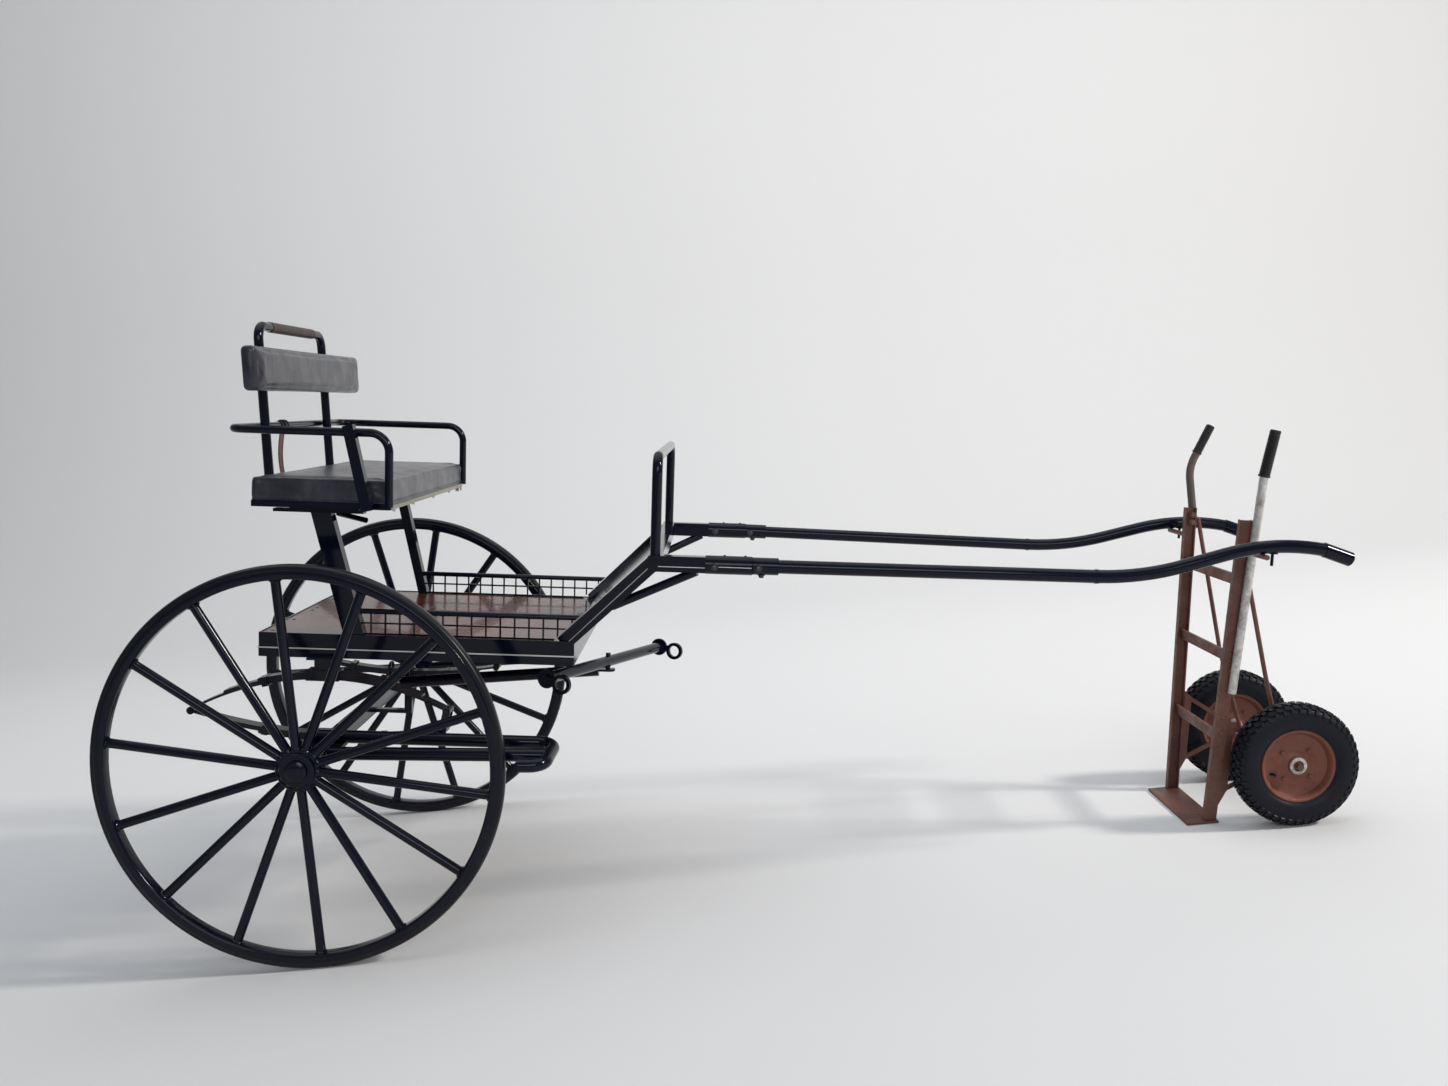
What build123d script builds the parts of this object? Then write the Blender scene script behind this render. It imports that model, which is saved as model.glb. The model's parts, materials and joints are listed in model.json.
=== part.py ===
from build123d import *
import math
import os

# Two-wheeled tubular steel horse cart, parked with its shafts carried by a sack truck.
# The cart is modelled level about its axle centre: +X to the horse, +Y to its left, +Z up.
# It is then tipped nose down onto the truck, and all of it stands on the floor at Z = 0.

# Stance
NOSE_DOWN = 7.0

# Wheels
WHEEL_R = 575.0
TRACK = 1400.0
TYRE_W = 36.0
TYRE_CROWN = 7.0
RIM_W = 44.0
TYRE_RIM_H = 42.0
RIM_IN_R = WHEEL_R - TYRE_RIM_H
RIM_WEB = 6.0
RIM_WALL = 3.5
RIM_LIP_H = 26.0
RIM_LIP = RIM_IN_R + RIM_LIP_H
SPOKES = 14
SPOKE_D = 27.0
SPOKE_PHASE = {-1: 96.6, 1: 107.8}
SPOKE_RING_R = 56.0
HUB_FLANGE_R = 49.0
HUB_FLANGE_T = 9.0
HUB_R = 30.0
HUB_INNER_L = 64.0
HUB_CAP_R = 31.0
HUB_CAP_L = 12.0
SEAT_GAP = 0.3
RUN_GAP = 0.1

# Axle
STUB_R = 19.0
BEAM = 40.0
COLLAR_GAP = 12.0

# Platform
PLAT_REAR = -200.0
PLAT_FRONT = 730.0
PLAT_TO_WHEEL = 270.0
PLAT_HALF = TRACK / 2 - PLAT_TO_WHEEL
PLAT_BOTTOM = 262.0
RAIL_W = 30.0
RAIL_H = 28.0
EDGE_H = 44.0
EDGE_T = 4.0
EDGE_STEP = 3.0
FLOOR_T = 21.0
FLOOR_BELOW_EDGE = 2.0

# Side mesh panels
MESH_IN = 25.0
MESH_Y = PLAT_HALF - MESH_IN
MESH_REAR = 80.0
MESH_FRONT = 765.0
MESH_TOP = 410.0
MESH_RAIL_D = 16.0
MESH_CELL = 44.0
MESH_WIRE = 5.0
MESH_ROWS = 2

# Leaf springs
SPRING_OUT = 15.0
SPRING_Y = PLAT_HALF + SPRING_OUT
LEAF_W = 42.0
LEAF_T = 7.0
EYE_R = 11.0
EYE_PIN_R = 5.0
REAR_EYE = (-385.0, 102.0)
FRONT_EYE_TOP = (364.0, 122.0)
FRONT_EYE_LOW = (352.0, 62.0)
UPPER_MID = 209.0
LEAF_SPANS = (290.0, 190.0)
CLAMP_L = 96.0
CLAMP_T = 6.0
SHACKLE_T = 5.0

# Seat
SEAT_REAR = -192.0
SEAT_FRONT = 205.0
SEAT_OUT = 70.0
SEAT_HALF = PLAT_HALF + SEAT_OUT
SEAT_BASE_Z = 712.0
SEAT_BASE_T = 18.0
CUSHION_H = 66.0
SLIDE_Y = PLAT_HALF - 5
SLIDE_W = 34.0
SLIDE_H = 9.0
SLIDE_REAR = -150.0
SLIDE_FRONT = 112.0
RUNNER_H = 9.0
RUNNER_W = 44.0
RUNNER_HALF = 100.0
TIE_T = 5.0
TIE_W = 50.0

# Clamp lever
LEVER_IN = 67.0
LEVER_SLANT = 44.0
LEVER_FOOT = (18.0, -SLIDE_Y + LEVER_IN)
LEVER_END = (110.0, -SLIDE_Y + LEVER_IN - LEVER_SLANT)
LEVER_D = 16.0

# Seat posts: side (-1 right, 1 left), top X, bottom X
POSTS = ((-1, -24.0, 64.0), (-1, 3.0, 92.0), (1, 3.0, 92.0))
POST_W = 31.0
POST_D = 36.0

# Backrest
BACK_POST_IN = 205.0
BACK_POST_Y = SEAT_HALF - BACK_POST_IN
BACK_POST_D = 28.0
BACK_POST_FOOT = (-206.5, 704.0)
BACK_POST_TOP = (-240.0, 1180.0)
BACK_FOOT_L = 130.0
BACK_FOOT_W = 40.0
HANDLE_TOP = 1232.0
HANDLE_BEND = 42.0
GRIP_D = 34.0
GRIP_IN = 74.0
GRIP_HALF = BACK_POST_Y - GRIP_IN
PAD_HALF = SEAT_HALF + 8
PAD_T = 47.0
PAD_LOW = 1035.0
PAD_TOP = 1165.0

# Armrest loop
ARM_D = 24.0
ARM_Y = SEAT_HALF + ARM_D / 2 + SEAT_GAP
ARM_Z = 932.0
ARM_FRONT = 205.0
ARM_FOOT = SEAT_BASE_Z + 10
ARM_BEND = 55.0

# Whip holder on the right arm
WHIP_TOP = (98.0, 952.0)
WHIP_FOOT = (152.0, 712.0)
WHIP_W = 30.0
WHIP_WALL = 3.0

# Dash, hoop and shafts
DASH_LOW = (698.0, 328.0)
DASH_HIGH = (962.0, 588.0)
SOCKET_Z = 585.0
DASH_IN = 30.0
DASH_LOW_Y = PLAT_HALF - DASH_IN
SILL_REAR = 684.0
SHAFT_OUT = 62.0
SHAFT_Y = PLAT_HALF + SHAFT_OUT
BOX_W = 40.0
BOX_H = 46.0
HOOP_X = 965.0
HOOP_TOP = 905.0
HOOP_D = 30.0
HOOP_BEND = 45.0
DASH_SHEET_T = 3.0
STUB_END = 1110.0
SLEEVE_END = 1245.0
COLLAR_END = 1320.0
SLEEVE_R = 27.0
COLLAR_R = 25.0
SHAFT_R = 20.0
SHAFT_TOE = 4.2
SHAFT_RUN = 1020.0
SHAFT_DROOP = 0.45
RISE_R = 900.0
RISE_ANGLE = 17.0
RISE_RUN = 130.0
CREST_R = 700.0
CREST_ANGLE = 25.0
TIP_DROP = 9.0
STOP_PIN = (1552.0, 48.0)
STOP_PIN_D = 9.0
STOP_PIN_L = 62.0
TIP_L = 92.0
TIP_R = 22.0
BRACE_D = 26.0
BRACE_LOW = (840.0, 446.0)
BRACE_HIGH = (1085.0, 564.0)
BRACE_LOW_Y = PLAT_HALF + 10

# Drawbar and singletree
DRAW_D = 38.0
DRAW_REAR = (115.0, 95.0)
PIVOT = (795.0, 160.0)
TREE_IN = 30.0
TREE_HALF = PLAT_HALF - TREE_IN
TREE_D = 36.0
TREE_TURN = -22.0
TREE_ROLL = -3.2
PIVOT_PIN_D = 16.0
PIVOT_PLATE_T = 8.0
PIVOT_PLATE_R = 24.0
STRAP_W = 24.0
STRAP_T = 12.0
HANGER_X = 667.0
TREE_FLANGE_R = 30.0
TREE_GAP = 6.0
TREE_FLANGE_T = 8.0
EYE_OUT_R = 30.0
EYE_IN_R = 19.0
EYE_T = 12.0
EYE_X = 56.0
EYE_Z = -12.0

# Step
STEP_TO_SPRING = 60.0
STEP_W = 93.0
STEP_REACH = 171.0
STEP_IN_Y = -SPRING_Y - STEP_TO_SPRING
STEP_OUT_Y = STEP_IN_Y - STEP_W
STEP_END_Y = STEP_IN_Y - STEP_REACH
STEP_HOOK_L = 70.0
STEP_BEND = 44.0
STEP_PLATE_L = 60.0
STEP_D = 38.0
STEP_Z = 48.0
STEP_FRONT = 678.0

# Sack truck
PEG_LEAN = 7.3
PEG_R = 8.0
PEG_OUT = 22.0
TRUCK_LEAN = 7.9
TRUCK_FOOT_Y = 165.0
TRUCK_TOP_Y = 228.0
TRUCK_TOP = 975.0
CHANNEL_W = 40.0
CHANNEL_D = 18.0
CHANNEL_T = 4.0
CROSS_Z = (283.0, 543.0, 787.0)
CROSS_H = 35.0
CROSS_T = 8.0
NOSE_REACH = 75.0
NOSE_T = 8.0
TRUCK_WHEEL_R = 195.0
TRUCK_AXLE_BACK = 248.0
TRUCK_WHEEL_Y = 242.0
TRUCK_TYRE_W = 88.0
TRUCK_RIM_R = 112.0
TRUCK_AXLE_R = 10.0
TRUCK_HUB_R = 24.0
BRACE_BAR_D = 14.0
BRACE_TOPS = ((-1, 800.0), (1, 938.0))
BRACE_KNEE = (52.0, 470.0)
BRACE_BEND = 400.0
SIDE_PLATE_TOP = 345.0
SIDE_PLATE_LOW = 60.0
SIDE_PLATE_W = 24.0
SIDE_PLATE_T = 6.0
STRUT_W = 14.0
HANDLE_D = 26.0
TRUCK_HANDLE_BEND = 140.0

# Handle bars as (X behind the rail's line, height), then grips as (length, diameter)
HANDLE_RIGHT = ((14.0, 430.0), (30.0, 1105.0), (48.0, 1240.0))
HANDLE_LEFT = ((24.0, 912.0), (-6.0, 1110.0), (58.0, 1242.0))
GRIP_RIGHT = (140.0, 34.0)
GRIP_LEFT = (100.0, 31.0)


def rod(a, b, dia):
    a, b = Vector(*a), Vector(*b)
    return extrude(Plane(origin=a, z_dir=b - a) * Circle(dia / 2), amount=(b - a).length)


def bar(a, b, wide, deep, across=(0, 1, 0)):
    a, b = Vector(*a), Vector(*b)
    face = Plane(origin=a, x_dir=across, z_dir=b - a) * Rectangle(wide, deep)
    return extrude(face, amount=(b - a).length)


def bent(points, dia, bend):
    path = FilletPolyline(*points, radius=bend)
    face = Plane(origin=path @ 0, z_dir=path % 0) * Circle(dia / 2)
    return sweep(face, path=path)


def box(x0, x1, y0, y1, z0, z1):
    size = (x1 - x0, y1 - y0, z1 - z0)
    centre = ((x0 + x1) / 2, (y0 + y1) / 2, (z0 + z1) / 2)
    return Pos(*centre) * Box(*size)


def ring(points):
    # A ring turned about the Y axis from its section, given as (radius, Y) corners.
    section = make_face(Polyline(*[(r, y) for r, y in points], close=True))
    return revolve(section, Axis.Y)


def solids(*shapes):
    return Compound([s for shape in shapes for s in shape.solids()])


# Wheels, named by their side. The section runs from the tyre to the hub.
def wheel(side):
    mid = side * (TRACK / 2 - RIM_W / 2)
    base = RIM_IN_R + RIM_WEB
    half = TYRE_W / 2
    bead = base + SEAT_GAP
    tyre = ring([(bead, mid - half), (WHEEL_R - TYRE_CROWN, mid - half), (WHEEL_R, mid - half / 2),
                 (WHEEL_R, mid + half / 2), (WHEEL_R - TYRE_CROWN, mid + half), (bead, mid + half)])
    w = RIM_W / 2
    rim = ring([(RIM_IN_R, mid - w), (RIM_LIP, mid - w), (RIM_LIP, mid - w + RIM_WALL),
                (base, mid - w + RIM_WALL), (base, mid + w - RIM_WALL), (RIM_LIP, mid + w - RIM_WALL),
                (RIM_LIP, mid + w), (RIM_IN_R, mid + w)])
    plate = SPOKE_D / 2
    spokes = ring([(HUB_R + SEAT_GAP, mid - plate), (SPOKE_RING_R, mid - plate),
                   (SPOKE_RING_R, mid + plate), (HUB_R + SEAT_GAP, mid + plate)])
    for k in range(SPOKES):
        a = math.radians(SPOKE_PHASE[side] + 360 * k / SPOKES)
        ray = (math.cos(a), math.sin(a))
        start, end = SPOKE_RING_R - SPOKE_D / 2, RIM_IN_R - SEAT_GAP
        spokes += rod((start * ray[0], mid, start * ray[1]), (end * ray[0], mid, end * ray[1]), SPOKE_D)
    out = mid + side * plate
    inn = mid - side * plate
    bore = STUB_R + RUN_GAP
    end = out + side * HUB_FLANGE_T
    hub = ring([(bore, inn - side * HUB_INNER_L), (HUB_R + 6, inn - side * HUB_INNER_L),
                (HUB_R + 6, inn - side * HUB_FLANGE_T), (HUB_FLANGE_R, inn - side * HUB_FLANGE_T),
                (HUB_FLANGE_R, inn), (HUB_R, inn), (HUB_R, out), (HUB_FLANGE_R, out),
                (HUB_FLANGE_R, end - side * 2), (HUB_FLANGE_R - 2, end), (HUB_CAP_R, end),
                (HUB_CAP_R - 1, end + side * (HUB_CAP_L - 3)), (HUB_CAP_R - 8, end + side * HUB_CAP_L),
                (0, end + side * HUB_CAP_L), (0, end), (bore, end)])
    return {"tyre": tyre, "rim": rim, "spokes": spokes, "hub": hub}


# Axle: a square beam with a collar and a round stub at each end.
def axle():
    face = TRACK / 2 - RIM_W / 2 - SPOKE_D / 2 - HUB_INNER_L - COLLAR_GAP
    stub_end = TRACK / 2 - RIM_W / 2 + SPOKE_D / 2 + HUB_FLANGE_T - 3
    beam = box(-BEAM / 2, BEAM / 2, -face, face, -BEAM / 2, BEAM / 2)
    for side in (-1, 1):
        beam += rod((0, side * (face - 1), 0), (0, side * stub_end, 0), STUB_R * 2)
        collar = side * (face + COLLAR_GAP - SEAT_GAP)
        beam += rod((0, side * (face - 1), 0), (0, collar, 0), STUB_R * 2 + 14)
    return beam


# Full-elliptic leaf springs, drawn in the XZ plane.
def leaf(a, mid, b, side_out, thick, span=None):
    # One leaf along the arc through a, (0, mid) and b, offset outwards and cut to its span.
    arc = ThreePointArc((a[0], a[1]), (0, mid), (b[0], b[1]))
    c = arc.arc_center
    r0 = arc.radius + side_out - thick / 2
    r1 = r0 + thick
    up = 1 if mid > (a[1] + b[1]) / 2 else -1
    band = Pos(c.X, c.Y) * Circle(r1) - Pos(c.X, c.Y) * Circle(r0)
    lo = a[0] if span is None else -span
    hi = b[0] if span is None else span
    cut = Pos((lo + hi) / 2, c.Y + up * arc.radius) * Rectangle(hi - lo, arc.radius)
    return extrude(Plane.XZ * (band & cut), amount=LEAF_W / 2, both=True)


def spring(side):
    lower_mid = BEAM / 2 + 1 + LEAF_T * (len(LEAF_SPANS) + 0.5)
    rear_up = (REAR_EYE[0], REAR_EYE[1] + LEAF_T / 2)
    rear_low = (REAR_EYE[0], REAR_EYE[1] - LEAF_T / 2)
    upper = leaf(rear_up, UPPER_MID, FRONT_EYE_TOP, 0, LEAF_T)
    lower = leaf(rear_low, lower_mid, FRONT_EYE_LOW, 0, LEAF_T)
    for k, span in enumerate(LEAF_SPANS):
        upper += leaf(rear_up, UPPER_MID, FRONT_EYE_TOP, LEAF_T * (k + 1), LEAF_T, span)
        lower += leaf(rear_low, lower_mid, FRONT_EYE_LOW, LEAF_T * (k + 1), LEAF_T, span)
    eyes = []
    for (x, z), half in ((REAR_EYE, LEAF_W / 2), (FRONT_EYE_TOP, LEAF_W / 2), (FRONT_EYE_LOW, LEAF_W / 2)):
        eyes.append(rod((x, -half, z), (x, half, z), EYE_R * 2))
    body = upper + lower
    for eye in eyes:
        body += eye
    top, low = Vector(FRONT_EYE_TOP[0], 0, FRONT_EYE_TOP[1]), Vector(FRONT_EYE_LOW[0], 0, FRONT_EYE_LOW[1])
    for s in (-1, 1):
        y = s * (LEAF_W / 2 + SHACKLE_T / 2)
        plate = bar((top.X, y, top.Z), (low.X, y, low.Z), SHACKLE_T, EYE_R * 2)
        for x, z in (FRONT_EYE_TOP, FRONT_EYE_LOW, REAR_EYE):
            plate += rod((x, y - SHACKLE_T / 2, z), (x, y + SHACKLE_T / 2, z), EYE_R * 2)
        body += plate
    # Centre clamps: a block over the upper leaves up to the platform, a pad under the lower ones.
    body += box(-CLAMP_L / 2, CLAMP_L / 2, -LEAF_W / 2 - 6, LEAF_W / 2 + 6,
                UPPER_MID - LEAF_T, UPPER_MID + LEAF_T * (len(LEAF_SPANS) + 0.5) + CLAMP_T)
    body += box(-CLAMP_L / 4, CLAMP_L / 4, -LEAF_W / 2, LEAF_W / 2, UPPER_MID, PLAT_BOTTOM)
    body += box(-CLAMP_L / 2, CLAMP_L / 2, -LEAF_W / 2 - 6, LEAF_W / 2 + 6,
                BEAM / 2 + SEAT_GAP, lower_mid + LEAF_T / 2 + CLAMP_T)
    return Pos(0, side * SPRING_Y, 0) * body


# Platform frame with its upstanding edge, and the floor that lies in it.
def platform_frame():
    z0, z1 = PLAT_BOTTOM, PLAT_BOTTOM + RAIL_H
    frame = box(PLAT_REAR, PLAT_FRONT, -PLAT_HALF, PLAT_HALF, z0, z1)
    frame -= box(PLAT_REAR + RAIL_W, PLAT_FRONT - RAIL_W, -PLAT_HALF + RAIL_W, PLAT_HALF - RAIL_W, z0, z1)
    frame += box(PLAT_REAR, PLAT_FRONT, -RAIL_W / 2, RAIL_W / 2, z0, z1)
    for x in (-RAIL_W / 2, (PLAT_FRONT + RAIL_W) / 2 - RAIL_W / 2):
        frame += box(x, x + RAIL_W, -PLAT_HALF, PLAT_HALF, z0, z1)
    half = PLAT_HALF - EDGE_STEP
    edge = box(PLAT_REAR, SILL_REAR, -half, half, z1, z1 + EDGE_H)
    edge -= box(PLAT_REAR + EDGE_T, SILL_REAR, -half + EDGE_T, half - EDGE_T, z1, z1 + EDGE_H)
    lip = box(PLAT_REAR, SILL_REAR, -half, half, z1, floor_low())
    lip -= box(PLAT_REAR + RAIL_W, SILL_REAR - RAIL_W, -half + RAIL_W, half - RAIL_W, z1, floor_low())
    for side in (-1, 1):
        lug = sorted((side * (PLAT_HALF - 1), side * (SPRING_Y + LEAF_W / 2)))
        frame += box(-CLAMP_L / 2, CLAMP_L / 2, *lug,
                     z0, z0 + CLAMP_T)
    return frame + edge + lip


def floor_low():
    return PLAT_BOTTOM + RAIL_H + EDGE_H - FLOOR_BELOW_EDGE - FLOOR_T


def floor_boards():
    half = PLAT_HALF - EDGE_STEP - EDGE_T - SEAT_GAP
    return box(PLAT_REAR + EDGE_T + SEAT_GAP, SILL_REAR - SEAT_GAP, -half, half,
               floor_low() + SEAT_GAP, floor_top())


def floor_top():
    return floor_low() + FLOOR_T


# Welded mesh panel with its top rail and end posts.
def mesh_panel(side):
    foot = floor_top() + SEAT_GAP
    rail_z = MESH_TOP - MESH_RAIL_D / 2
    height = rail_z - foot
    length = MESH_FRONT - MESH_REAR
    cells = round(length / MESH_CELL)
    grid = Rectangle(length, height)
    hole_w = (length - MESH_WIRE) / cells - MESH_WIRE
    hole_h = (height - MESH_WIRE) / MESH_ROWS - MESH_WIRE
    grid -= GridLocations(hole_w + MESH_WIRE, hole_h + MESH_WIRE, cells, MESH_ROWS) * Rectangle(hole_w, hole_h)
    centre = Pos(MESH_REAR + length / 2, MESH_Y, foot + height / 2)
    panel = centre * extrude(Plane.XZ * grid, amount=MESH_WIRE / 2, both=True)
    panel += rod((MESH_REAR, MESH_Y, rail_z), (MESH_FRONT, MESH_Y, rail_z), MESH_RAIL_D)
    panel -= seat_post(*POSTS[-1], SEAT_GAP)
    low, high = Vector(DASH_LOW[0], MESH_Y, DASH_LOW[1]), Vector(DASH_HIGH[0], MESH_Y, DASH_HIGH[1])
    panel -= bar(low - (high - low) * 0.2, high, 2 * BOX_W, BOX_H + 5)
    panel -= box(SILL_REAR - SEAT_GAP, MESH_FRONT, MESH_Y - BOX_W, MESH_Y + BOX_W,
                 foot - 1, sill_top() + SEAT_GAP)
    panel = panel.solids().sort_by(SortBy.VOLUME)[-1]
    return panel if side > 0 else mirror(panel, about=Plane.XZ)


def sill_top():
    return PLAT_BOTTOM + RAIL_H + EDGE_H


# Dash: sloped side tubes, shaft stubs, cross beam and rein hoop.
def dash_frame():
    frame = Part()
    for side in (-1, 1):
        low = (DASH_LOW[0], side * DASH_LOW_Y, DASH_LOW[1])
        high = (DASH_HIGH[0], side * SHAFT_Y, DASH_HIGH[1])
        frame += bar(low, high, BOX_W, BOX_H)
        frame += box(HOOP_X - BOX_W / 2, STUB_END, side * SHAFT_Y - BOX_W / 2, side * SHAFT_Y + BOX_W / 2,
                     SOCKET_Z - BOX_H / 2, SOCKET_Z + BOX_H / 2)
        b0 = (BRACE_LOW[0], side * BRACE_LOW_Y, BRACE_LOW[1])
        b1 = (BRACE_HIGH[0], side * SHAFT_Y, BRACE_HIGH[1])
        frame += rod(b0, b1, BRACE_D)
    beam_y = SHAFT_Y - BOX_W / 2
    frame += box(HOOP_X - BOX_W / 2, HOOP_X + BOX_W / 2, -beam_y, beam_y,
                 SOCKET_Z - BOX_H / 2, SOCKET_Z + BOX_H / 2)
    sill_y = PLAT_HALF - EDGE_STEP
    frame += box(SILL_REAR + SEAT_GAP, PLAT_FRONT, -sill_y, sill_y, PLAT_BOTTOM + RAIL_H + SEAT_GAP, sill_top())
    base = SOCKET_Z + BOX_H / 2 - 2
    top = HOOP_TOP - HOOP_D / 2
    frame += bent([(HOOP_X, -SHAFT_Y, base), (HOOP_X, -SHAFT_Y, top), (HOOP_X, SHAFT_Y, top),
                   (HOOP_X, SHAFT_Y, base)], HOOP_D, HOOP_BEND)
    return frame


def dash_sheet():
    a, b = Vector(DASH_LOW[0], 0, DASH_LOW[1]), Vector(DASH_HIGH[0], 0, DASH_HIGH[1])
    d = (b - a).normalized()
    n = Vector(-d.Z, 0, d.X)
    start, end = a + d * 45, b - d * 30
    run = (b - a).length
    corners = []
    for p, s in ((start, -1), (start, 1), (end, 1), (end, -1)):
        share = (p - a).length / run
        half = DASH_LOW_Y + (SHAFT_Y - DASH_LOW_Y) * share - BOX_W / 2 * 1.04 - SEAT_GAP
        corners.append(p + Vector(0, s * half, 0))
    face = make_face(Polyline(*corners, close=True))
    return extrude(face, amount=DASH_SHEET_T, dir=n)


# Shafts: slotted sleeve and collar on the box stub, then a bent tube with a drooped tip.
def shaft_plane(side):
    toe = math.radians(SHAFT_TOE)
    c, s = math.cos(toe), -side * math.sin(toe)
    fall = -math.tan(math.radians(SHAFT_DROOP))
    return Plane(origin=(SLEEVE_END, side * SHAFT_Y, SOCKET_Z), x_dir=(c, s, fall), z_dir=(s, -c, 0))


def shaft_path():
    run = Line((COLLAR_END - SLEEVE_END, 0), (SHAFT_RUN, 0))
    rise = JernArc(run @ 1, run % 1, RISE_R, RISE_ANGLE)
    slope = Line(rise @ 1, (rise @ 1) + (rise % 1) * RISE_RUN)
    crest = JernArc(slope @ 1, slope % 1, CREST_R, -CREST_ANGLE)
    return run, rise, slope, crest


def socket(side):
    y, z = side * SHAFT_Y, SOCKET_Z
    sleeve = rod((STUB_END, y, z), (SLEEVE_END, y, z), SLEEVE_R * 2)
    out = side * (SLEEVE_R - 3)
    y0, y1 = sorted((y + out, y + side * (SLEEVE_R + 2)))
    sleeve -= box(STUB_END + 28, SLEEVE_END - 30, y0, y1, z - 4, z + 4)
    collar = shaft_plane(side) * (Rot(0, 90, 0) * Cylinder(COLLAR_R, COLLAR_END - SLEEVE_END,
                                  align=(Align.CENTER, Align.CENTER, Align.MIN)))
    return sleeve + collar


def shaft(side):
    path = Curve() + list(shaft_path())
    face = Plane(origin=path @ 0, z_dir=path % 0) * Circle(SHAFT_R)
    tube = sweep(face, path=path)
    ring_at = shaft_path()[0] @ 1
    tube += extrude(Plane(origin=ring_at - Vector(5, 0), z_dir=(1, 0, 0)) * Circle(SHAFT_R + 1.5), amount=10)
    x, z = STOP_PIN
    tube += extrude(Plane(origin=(x, z, 0), z_dir=(0, 1, 0)) * Circle(STOP_PIN_D / 2), amount=STOP_PIN_L)
    washer = Plane(origin=(x, z + STOP_PIN_L - 26, 0), z_dir=(0, 1, 0)) * Circle(STOP_PIN_D * 1.7)
    tube += extrude(washer, amount=6)
    return shaft_plane(side) * tube


def shaft_tip(side):
    crest = shaft_path()[3]
    heading = crest % 1
    turn = math.degrees(math.atan2(heading.Y, heading.X)) - TIP_DROP
    d = Vector(math.cos(math.radians(turn)), math.sin(math.radians(turn)), 0)
    start = crest @ 1
    cap = extrude(Plane(origin=start - d * TIP_R, z_dir=d) * Circle(TIP_R), amount=TIP_L + TIP_R)
    cap = chamfer(cap.edges().sort_by(Axis.X)[-1], 4)
    near = Plane(origin=start + heading * SEAT_GAP, z_dir=heading)
    cap = split(cap, bisect_by=near, keep=Keep.TOP)
    return shaft_plane(side) * cap


# The singletree's drawbar, from the axle forward under the floor.
def drawbar():
    rise = (PIVOT[1] - DRAW_REAR[1]) / (PIVOT[0] - DRAW_REAR[0])
    nose = PIVOT[0] - PIVOT_PLATE_R - 6
    tube = rod((DRAW_REAR[0], 0, DRAW_REAR[1]), (nose, 0, PIVOT[1] - rise * (PIVOT[0] - nose)), DRAW_D)
    half = STRAP_W / 2
    x = DRAW_REAR[0] + half + 12
    tube += box(BEAM / 2 + SEAT_GAP, x + half, -half, half, -STRAP_T / 2, STRAP_T / 2)
    tube += box(x - half, x + half, -half, half, -STRAP_T / 2, DRAW_REAR[1])
    tube += box(HANGER_X - half, HANGER_X + half, -half, half, PIVOT[1] - 10, PLAT_BOTTOM - SEAT_GAP)
    t = PIVOT_PLATE_T / 2
    plate = box(-2 * PIVOT_PLATE_R, 0, -PIVOT_PLATE_R, PIVOT_PLATE_R, -t, t)
    plate += Cylinder(PIVOT_PLATE_R, PIVOT_PLATE_T)
    plate += rod((0, 0, 0), (0, 0, tree_lift() + TREE_D / 2 + 10), PIVOT_PIN_D)
    return tube + at_pivot() * plate


def at_pivot():
    # The round drawbar is rolled in its clamp, so its pivot leans a little to one side.
    return Pos(PIVOT[0], 0, PIVOT[1]) * Rot(TREE_ROLL, 0, 0)


def tree_lift():
    return PIVOT_PLATE_T / 2 + TREE_GAP + TREE_D / 2


def singletree():
    tree = rod((0, -TREE_HALF, 0), (0, TREE_HALF, 0), TREE_D)
    for side in (-1, 1):
        y0, y1 = sorted((side * TREE_HALF, side * (TREE_HALF + TREE_FLANGE_T)))
        tree += rod((0, y0, 0), (0, y1, 0), TREE_FLANGE_R * 2)
    tree -= rod((0, 0, -TREE_D), (0, 0, TREE_D), PIVOT_PIN_D + 2 * RUN_GAP)
    return at_pivot() * Pos(0, 0, tree_lift()) * Rot(0, 0, TREE_TURN) * tree


def eye_middle(side):
    return side * (TREE_HALF + TREE_FLANGE_T + SEAT_GAP + EYE_T / 2)


def trace_eyes():
    eyes = []
    for side in (-1, 1):
        mid = eye_middle(side)
        low, high = mid - EYE_T / 2, mid + EYE_T / 2
        eye = rod((EYE_X, low, EYE_Z), (EYE_X, high, EYE_Z), EYE_OUT_R * 2)
        eye += rod((0, low, 0), (0, high, 0), EYE_T * 2)
        eye += box(0, EYE_X - EYE_IN_R, low, high, -EYE_T / 2, EYE_T / 2)
        eye -= rod((EYE_X, low, EYE_Z), (EYE_X, high, EYE_Z), EYE_IN_R * 2)
        eyes.append(eye)
    return at_pivot() * Pos(0, 0, tree_lift()) * Rot(0, 0, TREE_TURN) * solids(*eyes)


# Step on the right, hooked out in front of the wheel.
def step():
    r = STEP_D / 2
    tread = bent([(-BEAM / 2, STEP_IN_Y, STEP_Z), (STEP_FRONT + 13, STEP_IN_Y, STEP_Z),
                  (STEP_FRONT, STEP_END_Y, STEP_Z - 18), (STEP_FRONT - STEP_HOOK_L, STEP_END_Y, STEP_Z - 20)],
                 STEP_D, STEP_BEND)
    side_tube = rod((BEAM / 2 + STEP_PLATE_L - 20, STEP_OUT_Y, STEP_Z - 24),
                    (STEP_FRONT, STEP_OUT_Y, STEP_Z - 10), STEP_D)
    plate = STEP_Z - r - BEAM / 2 - SEAT_GAP
    low = BEAM / 2 + SEAT_GAP
    bracket = box(-BEAM / 2, BEAM / 2 + STEP_PLATE_L, STEP_OUT_Y + r, STEP_IN_Y + r, low, low + plate + 2)
    return tread + side_tube + bracket


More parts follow.
